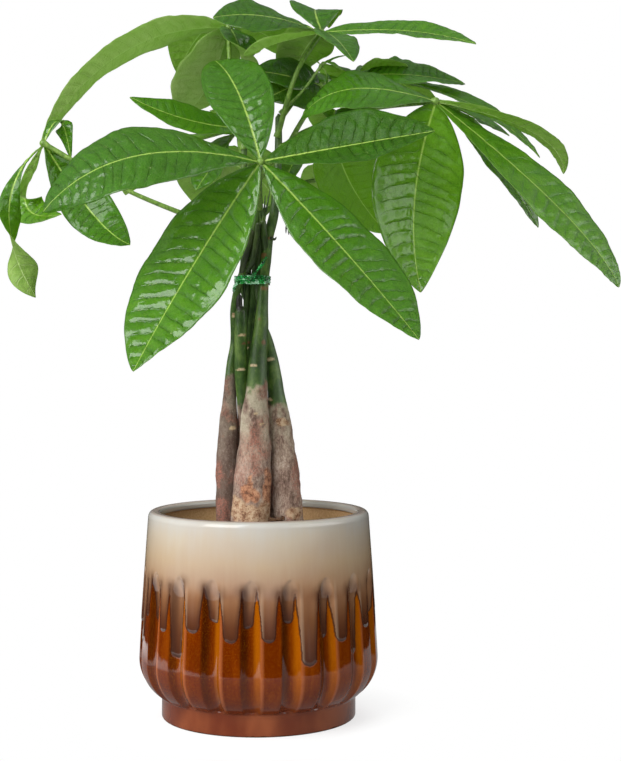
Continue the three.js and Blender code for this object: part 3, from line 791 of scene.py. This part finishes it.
def pot_profile():
    """Rows of (radius, level, 0 outside or 1 inside) up the wall and down again, and how many of them lie
    below the rim on the outside."""
    rows = []
    for turn in quarter(7)[:-1]:
        radius = FOOT_RADIUS - FOOT_ROUND + FOOT_ROUND * math.sin(turn)
        rows.append((radius, FOOT_ROUND * (1 - math.cos(turn)), 0))
    shoulder = POT_HEIGHT - RIM_OUTER_ROUND
    for low, high, count in (
        (FOOT_ROUND, FOOT_HEIGHT - 0.8, 8), (FOOT_HEIGHT + 0.1, 24, 16), (25, 46, 17), (47, 110, 62),
        (112, shoulder, 13),
    ):
        rows += [(float(wall_radius(z)), z, 0) for z in np.linspace(low, high, count)]
    outside = len(rows)
    for turn in quarter(14)[1:]:
        inward = 0.9 * RIM_OUTER_ROUND * (1 - math.cos(turn))
        level = POT_HEIGHT - RIM_OUTER_ROUND * (1 - math.sin(turn))
        rows.append((float(wall_radius(shoulder)) - inward, level, 0))
    for turn in quarter(7):
        radius = MOUTH_RADIUS + RIM_ROUND * (1 - math.sin(turn))
        rows.append((radius, POT_HEIGHT - RIM_ROUND * (1 - math.cos(turn)), 0))
    lip = POT_HEIGHT - LIP_HEIGHT
    rows += [
        (MOUTH_RADIUS, lip + 1.2, 0), (MOUTH_RADIUS, lip + 0.4, 0.2), (MOUTH_RADIUS + 0.4, lip, 0.5),
        (WALL_INSIDE - 0.3, lip - 0.5, 1), (WALL_INSIDE, lip - 1.2, 1), (WALL_INSIDE, 132, 1),
        (WALL_INSIDE, 120, 1), (WALL_INSIDE, 80, 1), (WALL_INSIDE, 34, 1), (WALL_INSIDE - 10, POT_FLOOR, 1),
    ]
    return np.array(rows), outside


def build_pot():
    profile, outside = pot_profile()
    azimuth = pot_columns()
    shape = (len(profile), len(azimuth))
    radius, z, inside = (np.broadcast_to(profile[:, k, None], shape) for k in range(3))
    angle = np.broadcast_to(azimuth, shape)
    fluted = (np.arange(len(profile)) < outside)[:, None]
    sink, sides = flute_sink(angle, z)
    drip, gap, hang = drip_fields(angle, np.where(fluted, z, POT_HEIGHT))
    beads = GLAZE_THICKNESS * (smooth(-0.5, 1.2, drip) - 1)
    r = radius + np.where(fluted, beads - sink, 0)
    turn = np.radians(angle)
    rings = np.stack([r * np.sin(turn), -r * np.cos(turn), z], -1)
    floats = {"drip": drip, "gap": gap, "hang": hang, "inside": inside, **sides}
    floats = {key: np.append(values.ravel(), [FAR, FAR]) for key, values in floats.items()}
    floats["inside"][-1] = 1
    keep("glazed_pot", [body(rings, floats=floats)], [glaze_look()], "pot")


# Stems

def smooth_path(points, steps):
    """Places at equal steps along a centripetal curve through points (x, y, z, radius), the radii there
    and how far along they are."""
    p = np.array(points, float)
    xyz = np.vstack([2 * p[0, :3] - p[1, :3], p[:, :3], 2 * p[-1, :3] - p[-2, :3]])
    u = np.linspace(0, len(p) - 1, 60 * (len(p) - 1) + 1)
    span = np.minimum(u.astype(int), len(p) - 2)
    w = (u - span)[:, None]
    p0, p1, p2, p3 = (xyz[span + k] for k in range(4))
    d0, d1, d2 = (np.maximum(np.linalg.norm(b - a, axis=1)[:, None] ** 0.5, 1e-4)
                  for a, b in ((p0, p1), (p1, p2), (p2, p3)))
    m1 = ((p1 - p0) / d0 - (p2 - p0) / (d0 + d1) + (p2 - p1) / d1) * d1
    m2 = ((p2 - p1) / d1 - (p3 - p1) / (d1 + d2) + (p3 - p2) / d2) * d1
    fine = p1 + m1 * w + (-3 * p1 + 3 * p2 - 2 * m1 - m2) * w ** 2 + (2 * p1 - 2 * p2 + m1 + m2) * w ** 3
    run = np.concatenate([[0], np.cumsum(np.linalg.norm(np.diff(fine, axis=0), axis=1))])
    at = np.linspace(0, run[-1], steps + 1)
    places = np.stack([np.interp(at, run, fine[:, k]) for k in range(3)], -1)
    radii = np.interp(np.interp(at, run, u), np.arange(len(p)), p[:, 3])
    return places, radii, at


def carried_frames(places):
    """Two directions across a path at each place, turning as little as possible along it."""
    along = unit(np.gradient(places, axis=0))
    normal = np.array([1.0, 0.0, 0.0])
    if abs(along[0] @ normal) > 0.95:
        normal = np.array([0.0, 1.0, 0.0])
    normals = []
    for direction in along:
        normal = unit(normal - direction * (direction @ normal))
        normals.append(normal)
    return np.array(normals), np.cross(along, normals)


def tube(places, radii, sides, bulge=0):
    """Rings of points round a path, and the outward direction at each. bulge adds to the radius there."""
    normals, across = carried_frames(places)
    turn = circle(sides)
    out = normals[:, None] * np.cos(turn)[:, None] + across[:, None] * np.sin(turn)[:, None]
    return places[:, None] + out * (radii[:, None] + bulge)[..., None], out


def bark_look():
    look = material("bark")
    bark = look.attribute("bark")
    tone = look.attribute("tone")
    grain = look.noise(720, 5, 0.75, upright=0.5)
    broad = look.noise(110, upright=0.6)
    flecks = look.noise(1000, 4, 0.8)
    flake = 0.5 * flecks + 0.5 * look.noise(260)
    blush = look.math("MAXIMUM", 0.45 * look.step(look.noise(55), 0.5, 0.62), 0.72 * look.attribute("blush"))
    lichen = look.step(look.level(), 172, 218) * look.step(broad, 0.36, 0.62) * (1 - tone)
    brown = look.layers(
        look.ramp(
            0.6 * grain + 0.4 * broad,
            (0.36, (94, 71, 60)), (0.45, (138, 111, 97)), (0.52, (168, 142, 126)), (0.6, (200, 179, 162)),
        ),
        (tone, (82, 63, 54)),
        (blush * look.step(flecks, 0.42, 0.56), (178, 108, 88)),
        (0.75 * lichen, (200, 192, 166)),
        (0.7 * look.step(flecks, 0.61, 0.7), (232, 216, 190)),
        (0.65 * look.step(flecks, 0.44, 0.34), (50, 38, 31)),
    )
    mottle = 0.3 * grain + 0.7 * broad
    green = look.layers(
        look.ramp(mottle, (0.35, (34, 60, 20)), (0.5, (62, 92, 34)), (0.65, (104, 130, 58))),
        (0.35 * look.step(flecks, 0.6, 0.68), (160, 158, 110)),
    )
    bared = look.ramp(flake, (0.42, (118, 74, 52)), (0.49, (180, 118, 84)), (0.56, (210, 156, 118)))
    corky = look.ramp(flake, (0.42, (122, 80, 54)), (0.48, (178, 134, 98)), (0.55, (210, 182, 150)))
    healed = look.ramp(flake, (0.42, (150, 112, 82)), (0.5, (212, 188, 150)))
    colour = look.layers(
        green,
        (bark, brown),
        (0.9 * look.attribute("peel"), bared),
        (0.85 * look.attribute("callus"), corky),
        (0.9 * look.attribute("scar"), healed),
        (0.75 * look.attribute("rust"), (124, 78, 52)),
        # dark: painted shade at trunk_2's top, and how dark each shoot is
        (look.attribute("dark"), (34, 30, 28)),
    )
    look.set(
        Base_Color=colour,
        Roughness=look.scale(bark, 0, 1, 0.34, 0.85),
        Normal=look.bump(grain + 0.5 * flecks, 0.0011, look.scale(bark, 0, 1, 0.25, 1)),
    )
    return look.owner


# Where the bark ends, and how dark it is
BARK_TOP = {"trunk_1": 238, "trunk_2": 214, "trunk_3": 235, "trunk_4": 150, "trunk_5": 215}
BARK_TONE = {"trunk_1": 0.75, "trunk_2": 0.35, "trunk_3": 0.1, "trunk_4": 0, "trunk_5": 0}

# Marks on the fronts of the stems: (kind, x, level, half width, half height)
MARKS = {
    "trunk_1": [
        ("scar", -18.5, 202, 2, 1.8), ("scar", -17, 281, 2, 1.6),
        ("blush", -28, 172, 4, 9), ("blush", -26, 146, 5, 8),
    ],
    "trunk_2": [
        # The dark mark at trunk_2's top is painted shade under the tie and leaves
        ("scar", -11, 267, 2.6, 0.8), ("scar", -12, 243, 3.2, 0.8), ("dark", -13, 291, 4, 7),
        ("rust", -9.5, 261, 1.6, 0.8),
    ],
    "trunk_3": [
        ("blush", -1, 190, 9, 16), ("blush", 4, 205, 5, 10), ("blush", -1, 232, 6, 6),
        ("scar", -1.6, 213, 1.8, 1.1), ("scar", 2, 206, 1.9, 0.7), ("scar", -3, 246, 2.6, 0.8),
        ("peel", -7, 158, 4, 5.5), ("peel", -1.5, 157, 3, 4.5), ("peel", -5, 164, 1.5, 6),
        ("peel", 7, 160, 3, 16), ("callus", -14, 147, 6, 8), ("callus", -4, 144, 12, 5.5),
        ("callus", 6, 145, 6, 8), ("rust", 2.6, 322.5, 3.2, 1.7), ("rust", 8.4, 334.5, 3.6, 1.2),
        ("rust", 4.5, 299.5, 3.2, 1.2), ("rust", 1, 278, 1.2, 1.2), ("rust", 4, 262, 1.2, 1.4),
    ],
    "trunk_4": [
        ("scar", -10, 273, 1.8, 1.2), ("scar", -9, 258, 2.2, 0.7), ("rust", -7, 262, 1.6, 0.8),
    ],
    "trunk_5": [
        ("scar", 8, 250, 3, 1.2), ("scar", 8, 222, 1.6, 1.1), ("callus", 17, 206, 5, 3),
        ("callus", 25, 143, 5, 4), ("blush", 28, 168, 4, 14),
    ],
}
MARK_KINDS = ("peel", "scar", "dark", "blush", "callus", "rust")
MARK_SOFTNESS = {"blush": 0.5, "dark": 0.3}         # where it isn't the usual 0.13

# Old stubs and shoots on the stems: (how dark, points (x, y, z, radius) from the stem outwards)
SHOOTS = {
    "trunk_1": [
        (0.75, [(-12, -1, 306, 2.2), (-10.5, -5, 314, 2.4), (-7, -9.5, 326, 2.2), (-4, -11, 340, 1.9)]),
        (0.6, [(-8, -3, 311, 2.2), (-3.6, -8, 319, 2.4), (-1.5, -10, 332, 2.1), (0.5, -11.5, 345, 1.7)]),
    ],
    "trunk_3": [
        (0.5, [(3, -4, 282, 2.2), (-0.2, -1.5, 296, 2.6), (-0.2, -1.5, 310, 2.8), (0.5, -6, 336, 2.4)]),
        (0.45, [(5, -4, 326, 2.4), (4, -7.5, 336, 2.6), (3.4, -8.5, 347, 2.1)]),
        (0.25, [(3.2, -8.5, 345, 1.1), (4.3, -9, 353, 0.9), (5, -9.2, 364, 0.3)]),
        (0.1, [(4, -8.5, 345, 1), (6, -8.5, 355, 0.8), (8.6, -8, 369, 0.25)]),
        (0.2, [(2, -8.4, 345, 0.8), (1.4, -9, 350, 0.6), (1.6, -9.2, 355, 0.2)]),
        (0.7, [(8.5, -4.5, 334.5, 1.2), (11.5, -5.6, 333.6, 0.8), (12.8, -5.8, 335.4, 0.3)]),
        (0.7, [(12, 1, 361, 0.9), (18.5, 4, 353, 0.7), (20.6, 3.4, 345, 0.8), (21.2, 3, 337, 0.3)]),
        (0.7, [(20.4, 3.4, 346, 0.7), (19.4, 3.2, 342, 0.6), (19.2, 3, 338, 0.2)]),
    ],
    "trunk_4": [
        (0.35, [(-8, 8, 258, 2.2), (-8.4, 5.5, 280, 2.5), (-8, 3.5, 297, 2.5), (-7, 3, 314, 2)]),
    ],
}


def stem_body(name, number):
    x, y, z, radius = STEMS[name][0]
    roots = [(x, y, z - ROOT_DEPTH, radius * 0.55), (x, y, z - 4, radius * 0.8)]
    reach = STEMS[name][-1][2] - z + ROOT_DEPTH
    places, radii, run = smooth_path(roots + STEMS[name], int(reach * STEM_RINGS_PER_MM))
    at, out = tube(places, radii, STEM_SIDES)
    z = at[..., 2]
    top = BARK_TOP[name] + 9 * noise(at, 14, 20 + number) + 3 * noise(at, 3, 26 + number)
    bark = smooth(3, -3, z - top)
    crack = noise(at * [1, 1, 0.3], 3, 31, 4)
    lump = noise(at, 17, 57, 2)
    deep = np.minimum(radii[:, None] * 0.075, 0.8)
    bulge = bark * deep * (0.8 * crack + 0.9 * lump) + (1 - bark) * 0.25 * lump
    ending = smooth(0, 3, run[-1] - run)
    rings, _ = tube(places, radii * (0.25 + 0.75 * ending), STEM_SIDES, bulge)
    floats = {kind: np.zeros_like(bark) for kind in MARK_KINDS}
    floats["bark"] = bark
    floats["tone"] = np.full_like(bark, BARK_TONE[name])
    front = smooth(0.1, -0.3, out[..., 1])
    for kind, x, level, wide, high in MARKS[name]:
        soft = MARK_SOFTNESS.get(kind, 0.13)
        away = np.hypot((at[..., 0] - x) / wide, (z - level) / high)
        away = away + max(soft, 0.35) * noise(at, 2.4 if kind == "scar" else 6, 3)
        floats[kind] = np.maximum(floats[kind], smooth(1 + soft, 1 - soft, away) * front)
    return body(rings, floats={key: np.append(values.ravel(), [0, 0]) for key, values in floats.items()})


def shoot_body(dark, points):
    places, radii, run = smooth_path(points, 40)
    close = 0.3 + 0.7 * smooth(0, 1, run[-1] - run)
    rings, _ = tube(places, radii * close, SHOOT_SIDES, 0.12 * noise(places, 5, 61, 2)[:, None])
    return body(rings, floats={"dark": dark})


def build_stems():
    look = bark_look()
    for number, name in enumerate(STEMS):
        parts = [stem_body(name, number)]
        parts += [shoot_body(dark, points) for dark, points in SHOOTS.get(name, [])]
        keep("stem_" + name[-1], parts, [look], name)


# Soil

def soil_look():
    look = material("potting_soil")
    grain = look.noise(420, 6, 0.7)
    colour = look.ramp(
        grain, (0.3, (26, 18, 13)), (0.5, (56, 40, 30)), (0.62, (84, 62, 46)), (0.72, (128, 98, 72)),
    )
    look.set(Base_Color=colour, Roughness=0.95, Normal=look.bump(grain - look.cells(480), 0.0016))
    return look.owner


def chip_look():
    look = material("bark_chips")
    grain = look.noise(500, 5, 0.65, upright=3)
    colour = look.ramp(grain, (0.3, (62, 42, 30)), (0.5, (112, 80, 56)), (0.7, (160, 122, 88)))
    look.set(Base_Color=colour, Roughness=0.85, Normal=look.bump(grain, 0.001))
    return look.owner


def soil_top(x, y):
    """The soil's level, mounded towards the middle, with clods."""
    away = np.hypot(x, y)
    clods = noise(np.stack([x, y, np.zeros_like(x)], -1), 9, 71, 3)
    mound = 2.4 * smooth(SOIL_RADIUS, 10, away)
    return SOIL_LEVEL - 2.6 + mound + 0.9 * clods * smooth(SOIL_RADIUS, SOIL_RADIUS - 4, away)


def chip_body(rng, place, size):
    """A rough flake of bark that lies on the soil."""
    heights = np.array([-0.3, -0.08, 0.12, 0.26])[:, None]
    widths = np.array([0.55, 1, 0.95, 0.5])[:, None]
    shape = (len(heights), CHIP_SIDES)
    turn = circle(CHIP_SIDES)
    long = rng.uniform(1, 2.1)
    rough = widths * (1 + rng.uniform(-0.28, 0.28, shape))
    rise = heights + rng.uniform(-0.06, 0.06, shape)
    rings = np.stack([np.cos(turn) * rough * long, np.sin(turn) * rough, rise], -1) * size * 0.6
    tilt = Matrix.Rotation(rng.uniform(-0.35, 0.35), 3, "X")
    roll = Matrix.Rotation(rng.uniform(-0.35, 0.35), 3, "Y")
    spin = Matrix.Rotation(rng.uniform(0, 2 * math.pi), 3, "Z")
    return body(rings @ np.array(spin @ roll @ tilt).T + np.array(place), slot=1, slot_ends=1)


def build_soil():
    rng = np.random.default_rng(11)
    turn = circle(SOIL_SIDES)
    rim = SOIL_RADIUS
    radii = np.concatenate([[rim - 11, rim, rim], np.linspace(rim - 0.6, 1.5, 62)])[:, None]
    x, y = radii * np.cos(turn), radii * np.sin(turn)
    z = soil_top(x, y)
    z[:3] = np.array(SOIL_WALL_LEVELS)[:, None]
    parts = [body(np.stack([x, y, z], -1))]
    for k in range(SPREAD_CHIPS):
        away = SPREAD_RADIUS * math.sqrt(rng.uniform(0.02, 1))
        around = rng.uniform(0, 2 * math.pi)
        x, y = away * math.cos(around), away * math.sin(around)
        if any(math.hypot(x - s[0][0], y - s[0][1]) < s[0][3] + 1.5 for s in STEMS.values()):
            continue
        size = rng.uniform(1.2, 4.2)
        level = soil_top(np.array([x]), np.array([y]))[0]
        parts.append(chip_body(rng, (x, y, level), size))
    for k in range(HEAPED_CHIPS):
        rise = rng.uniform(0, 1) ** 0.6
        spot = (rng.uniform(*HEAP_X), rng.uniform(*HEAP_Y), HEAP_LEVEL + HEAP_HEIGHT * rise)
        parts.append(chip_body(rng, spot, rng.uniform(1.4, 3.6)))
    keep("soil_mound", parts, [soil_look(), chip_look()], "soil")


# Foil tie

def foil_look():
    look = material("green_foil")
    crinkle = look.noise(900, 4, 0.6, distortion=0.8)
    tone = look.node("RGBToBW", 0, {"Color": look.cells(400, "Color")})
    # Painted highlights and painted shade on the foil: the brightest crinkle green and the white sparkles are
    # painted glints, the dark cells painted shade between crinkles
    colour = look.layers(
        look.ramp(crinkle, (0.3, (0, 92, 34)), (0.5, (0, 160, 58)), (0.7, (84, 246, 142))),
        (0.7 * look.step(tone, 0.4, 0.3), (0, 62, 30)),
        (0.8 * look.step(tone, 0.66, 0.72), (200, 255, 220)),
    )
    look.set(
        Base_Color=colour,
        Metallic=0.55,
        Roughness=look.scale(crinkle, 0.3, 0.7, 0.2, 0.36),
        Coat_Weight=1,
        Coat_Roughness=0.1,
        Coat_IOR=1.6,
        Normal=look.bump(tone + crinkle, 0.0016),
    )
    return look.owner


def held_outline(level, count):
    """Points round the stems that the tie holds at a level, and the outward directions there."""
    held = []
    for name in TIE_HOLDS:
        path, radii, _ = smooth_path(STEMS[name], 200)
        at = int(np.argmin(np.abs(path[:, 2] - level)))
        held.append((path[at, 0], path[at, 1], radii[at]))
    held = np.array(held)
    turn = circle(count)
    out = np.stack([np.cos(turn), np.sin(turn)], -1)
    outermost = held[np.argmax(out @ held[:, :2].T + held[:, 2], axis=1)]
    return outermost[:, :2] + out * outermost[:, 2:], out


def ribbon(rng, places, facing, width, thick, crinkle):
    """A flat crinkled strip along places. facing is the way its flat side looks."""
    along = unit(np.gradient(places, axis=0))
    facing = unit(facing - along * (facing * along).sum(-1, keepdims=True))
    side = np.cross(along, facing)
    across = np.linspace(-1, 1, RIBBON_COLUMNS)
    rough = rng.uniform(-1, 1, (len(places), RIBBON_COLUMNS))
    rough = (rough + np.roll(rough, 1, 0)) / 2
    faces = []
    for sign in (1, -1):
        row = across[::sign, None] * width / 2
        bend = rough[:, ::sign, None] * crinkle + sign * thick / 2
        faces.append(places[:, None] + side[:, None] * row + facing[:, None] * bend)
    strip = body(np.concatenate(faces, axis=1))
    return {**strip, "quads": strip["quads"][:, ::-1], "triangles": strip["triangles"][:, ::-1]}


def build_tie():
    rng = np.random.default_rng(5)
    count = TIE_TURNS * TIE_COLUMNS
    line, out = held_outline(TIE_LEVEL + TIE_HEIGHT / 2, TIE_COLUMNS)
    k = np.arange(count)
    sway = noise(np.stack([k / 14, k * 0, k * 0], -1), 1, 91, 2)
    level = TIE_LEVEL + 1.2 + (TIE_HEIGHT - 2.4) * (k / (count - 1)) + 0.9 * sway
    loose = noise(np.stack([k / 4, k * 0, k * 0], -1), 1, 92, 2)
    off = 0.8 + 0.3 * (k // TIE_COLUMNS % 2) + 0.45 * loose
    ring = k % TIE_COLUMNS
    places = np.concatenate([line[ring] + out[ring] * off[:, None], level[:, None]], -1)
    facing = np.concatenate([out[ring], 0.35 * rng.uniform(-1, 1, (count, 1))], -1)
    parts = [ribbon(rng, places, facing, width=2.3, thick=0.25, crinkle=0.34)]
    for points in TIE_TAILS:
        path, _, run = smooth_path(points, 70)
        normals, across = carried_frames(path)
        for half in (0, 1):
            turn = (run / 3.2 + half * math.pi)[:, None]
            around = normals * np.cos(turn) + across * np.sin(turn)
            strand = path + around * 0.45
            parts.append(ribbon(rng, strand, around, width=2.1, thick=0.22, crinkle=0.2))
    keep("twist_tie", parts, [foil_look()], "tie")


# Leaves

def leaf_look(name, greens, vein, vein_colour_and_crease_shade, roughness, coat, through):
    """A leaf's skin. greens are its dark, middle and light colours; its side veins get a share of a colour,
    pale veins or painted shade in their creases; and through is what shines through it."""
    look = material(name)
    along = look.attribute("along")
    edge = look.attribute("edge")
    wave = abs(look.math("SINE", math.pi * look.attribute("vein")))
    specks = look.noise(1500, 3, 0.6)
    net = look.cells(620, feature="DISTANCE_TO_EDGE")
    # The green: each leaflet's own green with painted light and shade, random mottling, and painted shade a
    # little darker along the vein creases
    tone = look.attribute("tint") + 0.5 * (look.noise(75) - 0.5) + 0.16 * (specks - 0.5) + 0.12 * (wave - 0.6)
    rib = abs(look.attribute("lateral")) / (0.6 * (1 - along) + 0.26)
    green = look.layers(
        look.ramp(tone, *zip((0.05, 0.5, 0.95), greens)),
        # Side veins: painted shade in the creases on the upper side, pale veins on the underside
        (vein_colour_and_crease_shade[0] * look.step(wave, 0.22, 0.02) * look.step(edge, 0.02, 0.2), vein_colour_and_crease_shade[1]),
        (0.12 * look.step(net, 0.12, 0), vein),
        (0.9 * look.step(rib, 1.15, 0.55), vein),
        (0.5 * look.step(edge, 0.035, 0), greens[0]),
    )
    # The glossy coat bridges the finest grain, so its own relief leaves that out and is shallower
    broken = look.scale(look.noise(140, 1), 0.35, 0.65, 0.4, 3)
    crease = look.step(wave, 0, 0.24) * look.step(edge, 0.06, 0.3)
    pillow = look.cells(190)
    relief = crease * broken * look.attribute("quilt") - 1.4 * pillow * pillow + 0.9 * look.noise(260, 2)
    grain = 0.5 * specks + 0.35 * look.step(net, 0, 0.2)
    normal = look.bump(relief + grain, 0.00035, 0.9)
    skin = look.set(
        Base_Color=green,
        Roughness=look.scale(specks, 0.3, 0.7, *roughness),
        Specular_IOR_Level=0.2,
        Coat_Weight=coat * look.attribute("gloss"),
        Coat_Roughness=0.16,
        Coat_IOR=1.65,
        Normal=normal,
        Coat_Normal=look.bump(relief, 0.00012, 0.9),
    )
    glow = look.node("BsdfTranslucent", 0, {"Color": look.layers(green, (0.75, through)), "Normal": normal})
    look.end(look.blend(0.45, skin, glow))
    return look.owner


def stalk_look():
    look = material("leaf_stalk")
    grain = look.noise(500, upright=0.5)
    colour = look.ramp(grain, (0.3, (76, 108, 36)), (0.55, (106, 140, 52)), (0.75, (138, 168, 78)))
    look.set(Base_Color=colour, Roughness=0.45, Normal=look.bump(grain, 0.0004))
    return look.owner


# How a leaflet (leaf, leaflet) differs from the others in its green (0 is dark, 1 yellowish, usually
# 0.45), which is partly its own colour and partly painted light and shade, lighter where it is lit from
# behind; in the depth of its quilting; and in its gloss (usually 1)
GREENS_AND_PAINTED_LIGHT = {
    (1, 1): 0.38, (1, 2): 0.32, (1, 3): 0.54, (1, 4): 0.44, (1, 5): 0.1, (2, 1): 0.76, (2, 2): 0.42,
    (2, 3): 0.6, (3, 1): 0.22, (3, 2): 0.55, (3, 4): 0.65, (3, 5): 0.35, (4, 1): 0.8, (4, 2): 0.76,
    (5, 1): 0.42, (5, 2): 0.7, (5, 3): 0.34, (6, 1): 0.5, (6, 3): 0.95, (7, 1): 1.1, (7, 2): 0.1,
    (8, 1): 0.4, (8, 2): 0.75, (8, 5): 0.4, (9, 1): 0.05, (9, 2): 0.3,
}
QUILTS = {
    (1, 1): 1.15, (2, 1): 0.75, (2, 3): 0.35, (2, 4): 0.5, (2, 5): 0.6, (3, 2): 0.4, (3, 4): 0.6,
    (4, 1): 0.35, (4, 2): 0.6, (5, 1): 0.6, (6, 1): 0.6, (7, 1): 0.5, (8, 5): 0.5,
}
GLOSS = {(1, 1): 0.8, (1, 2): 0.8, (1, 5): 0.1, (5, 1): 0.7, (5, 3): 0.6, (7, 1): 0.15, (8, 1): 0.7}


def turned(vectors, axes, angles):
    """Vectors at right angles to their axes, turned about them by angles in radians."""
    return vectors * np.cos(angles)[:, None] + np.cross(axes, vectors) * np.sin(angles)[:, None]


def leaflet_body(leaf, leaflet, index, number):
    """The two skins of one leaflet with its quilted relief, as rings across the blade."""
    hub = np.array(leaf["hub"], float)
    mid, tip, width, traits = leaflet
    mid, tip = np.array(mid, float), np.array(tip, float)
    length = float(np.linalg.norm(mid) + np.linalg.norm(tip - mid))
    large = min(1.0, width * length / LARGE_LEAFLET)
    stations = max(24, round(length / (1.15 if large > 0.9 else 1.5)))
    columns = max(9, int(8 + 20 * large)) // 2 * 2 + 1
    t = np.linspace(0, 1, stations)
    t = t - 0.04 * np.sin(2 * np.pi * t)
    s = np.linspace(-1, 1, columns)
    out = np.abs(s)
    row = t[:, None]
    # The midrib is a curve from the knob through mid to the tip, with directions along, up and to the side
    start = hub + unit(mid) * 0.6 * KNOB_RADIUS * leaf.get("size", 1)
    middle, end = hub + mid, hub + tip
    bend = 2 * middle - 0.5 * start - 0.5 * end
    rib = (1 - row) ** 2 * start + 2 * row * (1 - row) * bend + row ** 2 * end
    along = unit(2 * (1 - row) * (bend - start) + 2 * row * (end - bend))
    face = unit(np.array(leaf["face"], float))
    up = unit(face - along * (along @ face)[:, None])
    up = turned(up, along, np.radians(traits.get("roll", 0) + traits.get("twist", 0) * t))
    side = np.cross(along, up)
    # The blade's outline, its fold along the rib and the waves of its margins
    lean = math.log(0.5) / math.log(traits.get("widest", 0.5))
    swell = np.maximum(np.sin(np.pi * t ** lean), 0) ** 0.8
    half = width / 2 * np.maximum(swell, 0.045 * (1 - t)) + 0.35
    lateral = half[:, None] * s
    phase = 2.3 * number
    wave = 0.035 * width * swell[:, None] * np.sin(2 * np.pi * 1.4 * row + phase + 2 * (s > 0))
    ripple = 0.012 * width * np.sin(2 * np.pi * 4.3 * row + phase * 1.7 + 3 * (s > 0)) * swell[:, None]
    fold = math.sin(math.radians(traits.get("fold", 8)))
    lift = half[:, None] * out * fold + wave * s ** 2 + ripple * out ** 4
    # Lateral veins run out almost square, curve forward and join in loops near the edge
    veins = round(7 + length / 15)
    spacing = length / veins
    spread = np.broadcast_to(row, lateral.shape)
    own = np.full(lateral.shape, 7.0 * index + number)
    spots = np.stack([spread * veins, np.sign(lateral) * 3, own], -1)
    blade = np.stack([spread * length, lateral, np.full(lateral.shape, 31.0 * index + 9 * number)], -1)
    slant = 0.3 * np.abs(lateral) + 0.55 * spacing * out ** 5
    vein = veins * (row - slant / length) + 0.5 * (s > 0) + 0.3 * noise(spots, 1.6, 8, 1)
    vein = vein + 0.1 * noise(blade, 0.8 * spacing, 17, 2)
    # The blade bulges between the veins, each panel a little differently
    swing = np.abs(np.sin(np.pi * vein))
    quilt = 0.8 * smooth(0, 0.38, swing) + 0.2 * swing
    panel = np.stack([np.floor(vein), np.sign(lateral), own], -1) + 0.37
    tilt = (vein - np.floor(vein) - 0.5) * quilt * (0.5 + 0.9 * noise(panel, 1, 13, 1))
    uneven = 1 + 0.7 * noise(panel, 1, 12, 1)
    loop = 0.76 + 0.14 * quilt
    fade = smooth(0, 0.2, out) * smooth(0, 0.16, loop - out) * smooth(0, 0.1, row) * smooth(1, 0.88, row)
    place = (index, number + 1)
    quilting = QUILTS.get(place, 1.0)
    depth = quilting * min(1.5, 0.155 * spacing) * (0.8 + 0.45 * noise(blade, 26, 19, 2))
    lift = lift + depth * (quilt * uneven - 0.5 + 1.2 * tilt) * fade
    lift = lift + 0.045 * spacing * noise(blade, spacing * 0.55, 14, 2) * smooth(0, 0.1, out)
    # The rib is a groove above and a ridge below
    dip = np.exp(-(lateral / 1.1) ** 2) * (1 - 0.7 * row)
    thick = BLADE_HALF * (1 - 0.6 * out ** 3)
    point = rib[:, None] + side[:, None] * lateral[..., None] + up[:, None] * lift[..., None]
    top = point + up[:, None] * (thick - RIB_GROOVE * dip)[..., None]
    under = point - up[:, None] * (thick + RIB_RIDGE * dip * large)[..., None]
    fields = {"along": spread, "lateral": lateral, "vein": vein, "edge": np.broadcast_to(1 - out, vein.shape)}
    floats = {
        key: np.append(np.concatenate([values, values[:, ::-1]], axis=1).ravel(), [0, 0])
        for key, values in fields.items()
    }
    floats.update(tint=GREENS_AND_PAINTED_LIGHT.get(place, 0.45), gloss=GLOSS.get(place, 1.0), quilt=quilting)
    skins = np.tile([0] * (columns - 1) + [1] * (columns + 1), stations - 1)
    return body(np.concatenate([top, under[:, ::-1]], axis=1), floats=floats, slot=skins)


def petiole_body(leaf):
    """A leaf's stalk, flared at its root and ending in the knob that its leaflets grow from."""
    size = leaf.get("size", 1)
    thin = PETIOLE_RADIUS * size
    knob = KNOB_RADIUS * size
    points = [(*leaf["root"], 1.4 * thin), (*leaf["bow"], thin), (*leaf["hub"], 1.2 * thin)]
    places, radii, run = smooth_path(points, 70)
    to_hub = run[-1] - run
    radii = np.maximum(radii, knob * np.sqrt(np.maximum(0, 1 - (to_hub / (1.7 * knob)) ** 2)))
    radii = np.maximum(radii, 1.7 * thin * smooth(9, 2, run))
    ahead = np.array([0.3, 0.55, 0.75, 0.9, 0.98])
    beyond = places[-1] + unit(places[-1] - places[-2]) * knob * ahead[:, None]
    radii = np.concatenate([radii, knob * np.sqrt(1 - ahead ** 2)])
    rings, _ = tube(np.concatenate([places, beyond]), radii, SHOOT_SIDES)
    return body(rings, slot=2, slot_ends=2)


def build_leaves():
    # The upper side's side veins are painted shade in their creases; the underside's are pale veins
    upper = leaf_look(
        "leaf_upper", greens=((24, 68, 4), (56, 111, 12), (106, 157, 26)), vein=(192, 220, 108),
        vein_colour_and_crease_shade=(0.08, (24, 68, 4)), roughness=(0.4, 0.52), coat=1, through=(0.42, 0.8, 0.03, 1),
    )
    under = leaf_look(
        "leaf_under", greens=((92, 126, 50), (146, 178, 88), (200, 214, 150)), vein=(206, 222, 160),
        vein_colour_and_crease_shade=(0.4, (206, 222, 160)), roughness=(0.58, 0.7), coat=0.2, through=(0.56, 0.8, 0.18, 1),
    )
    looks = [upper, under, stalk_look()]
    for index, (leaf, leaflets) in enumerate(LEAVES, 1):
        parts = [petiole_body(leaf)]
        parts += [leaflet_body(leaf, leaflet, index, k) for k, leaflet in enumerate(leaflets)]
        name = "leaf_%02d" % index
        keep("money_tree_" + name, parts, looks, name)


build_studio()
build_pot()
build_soil()
build_stems()
build_tie()
build_leaves()
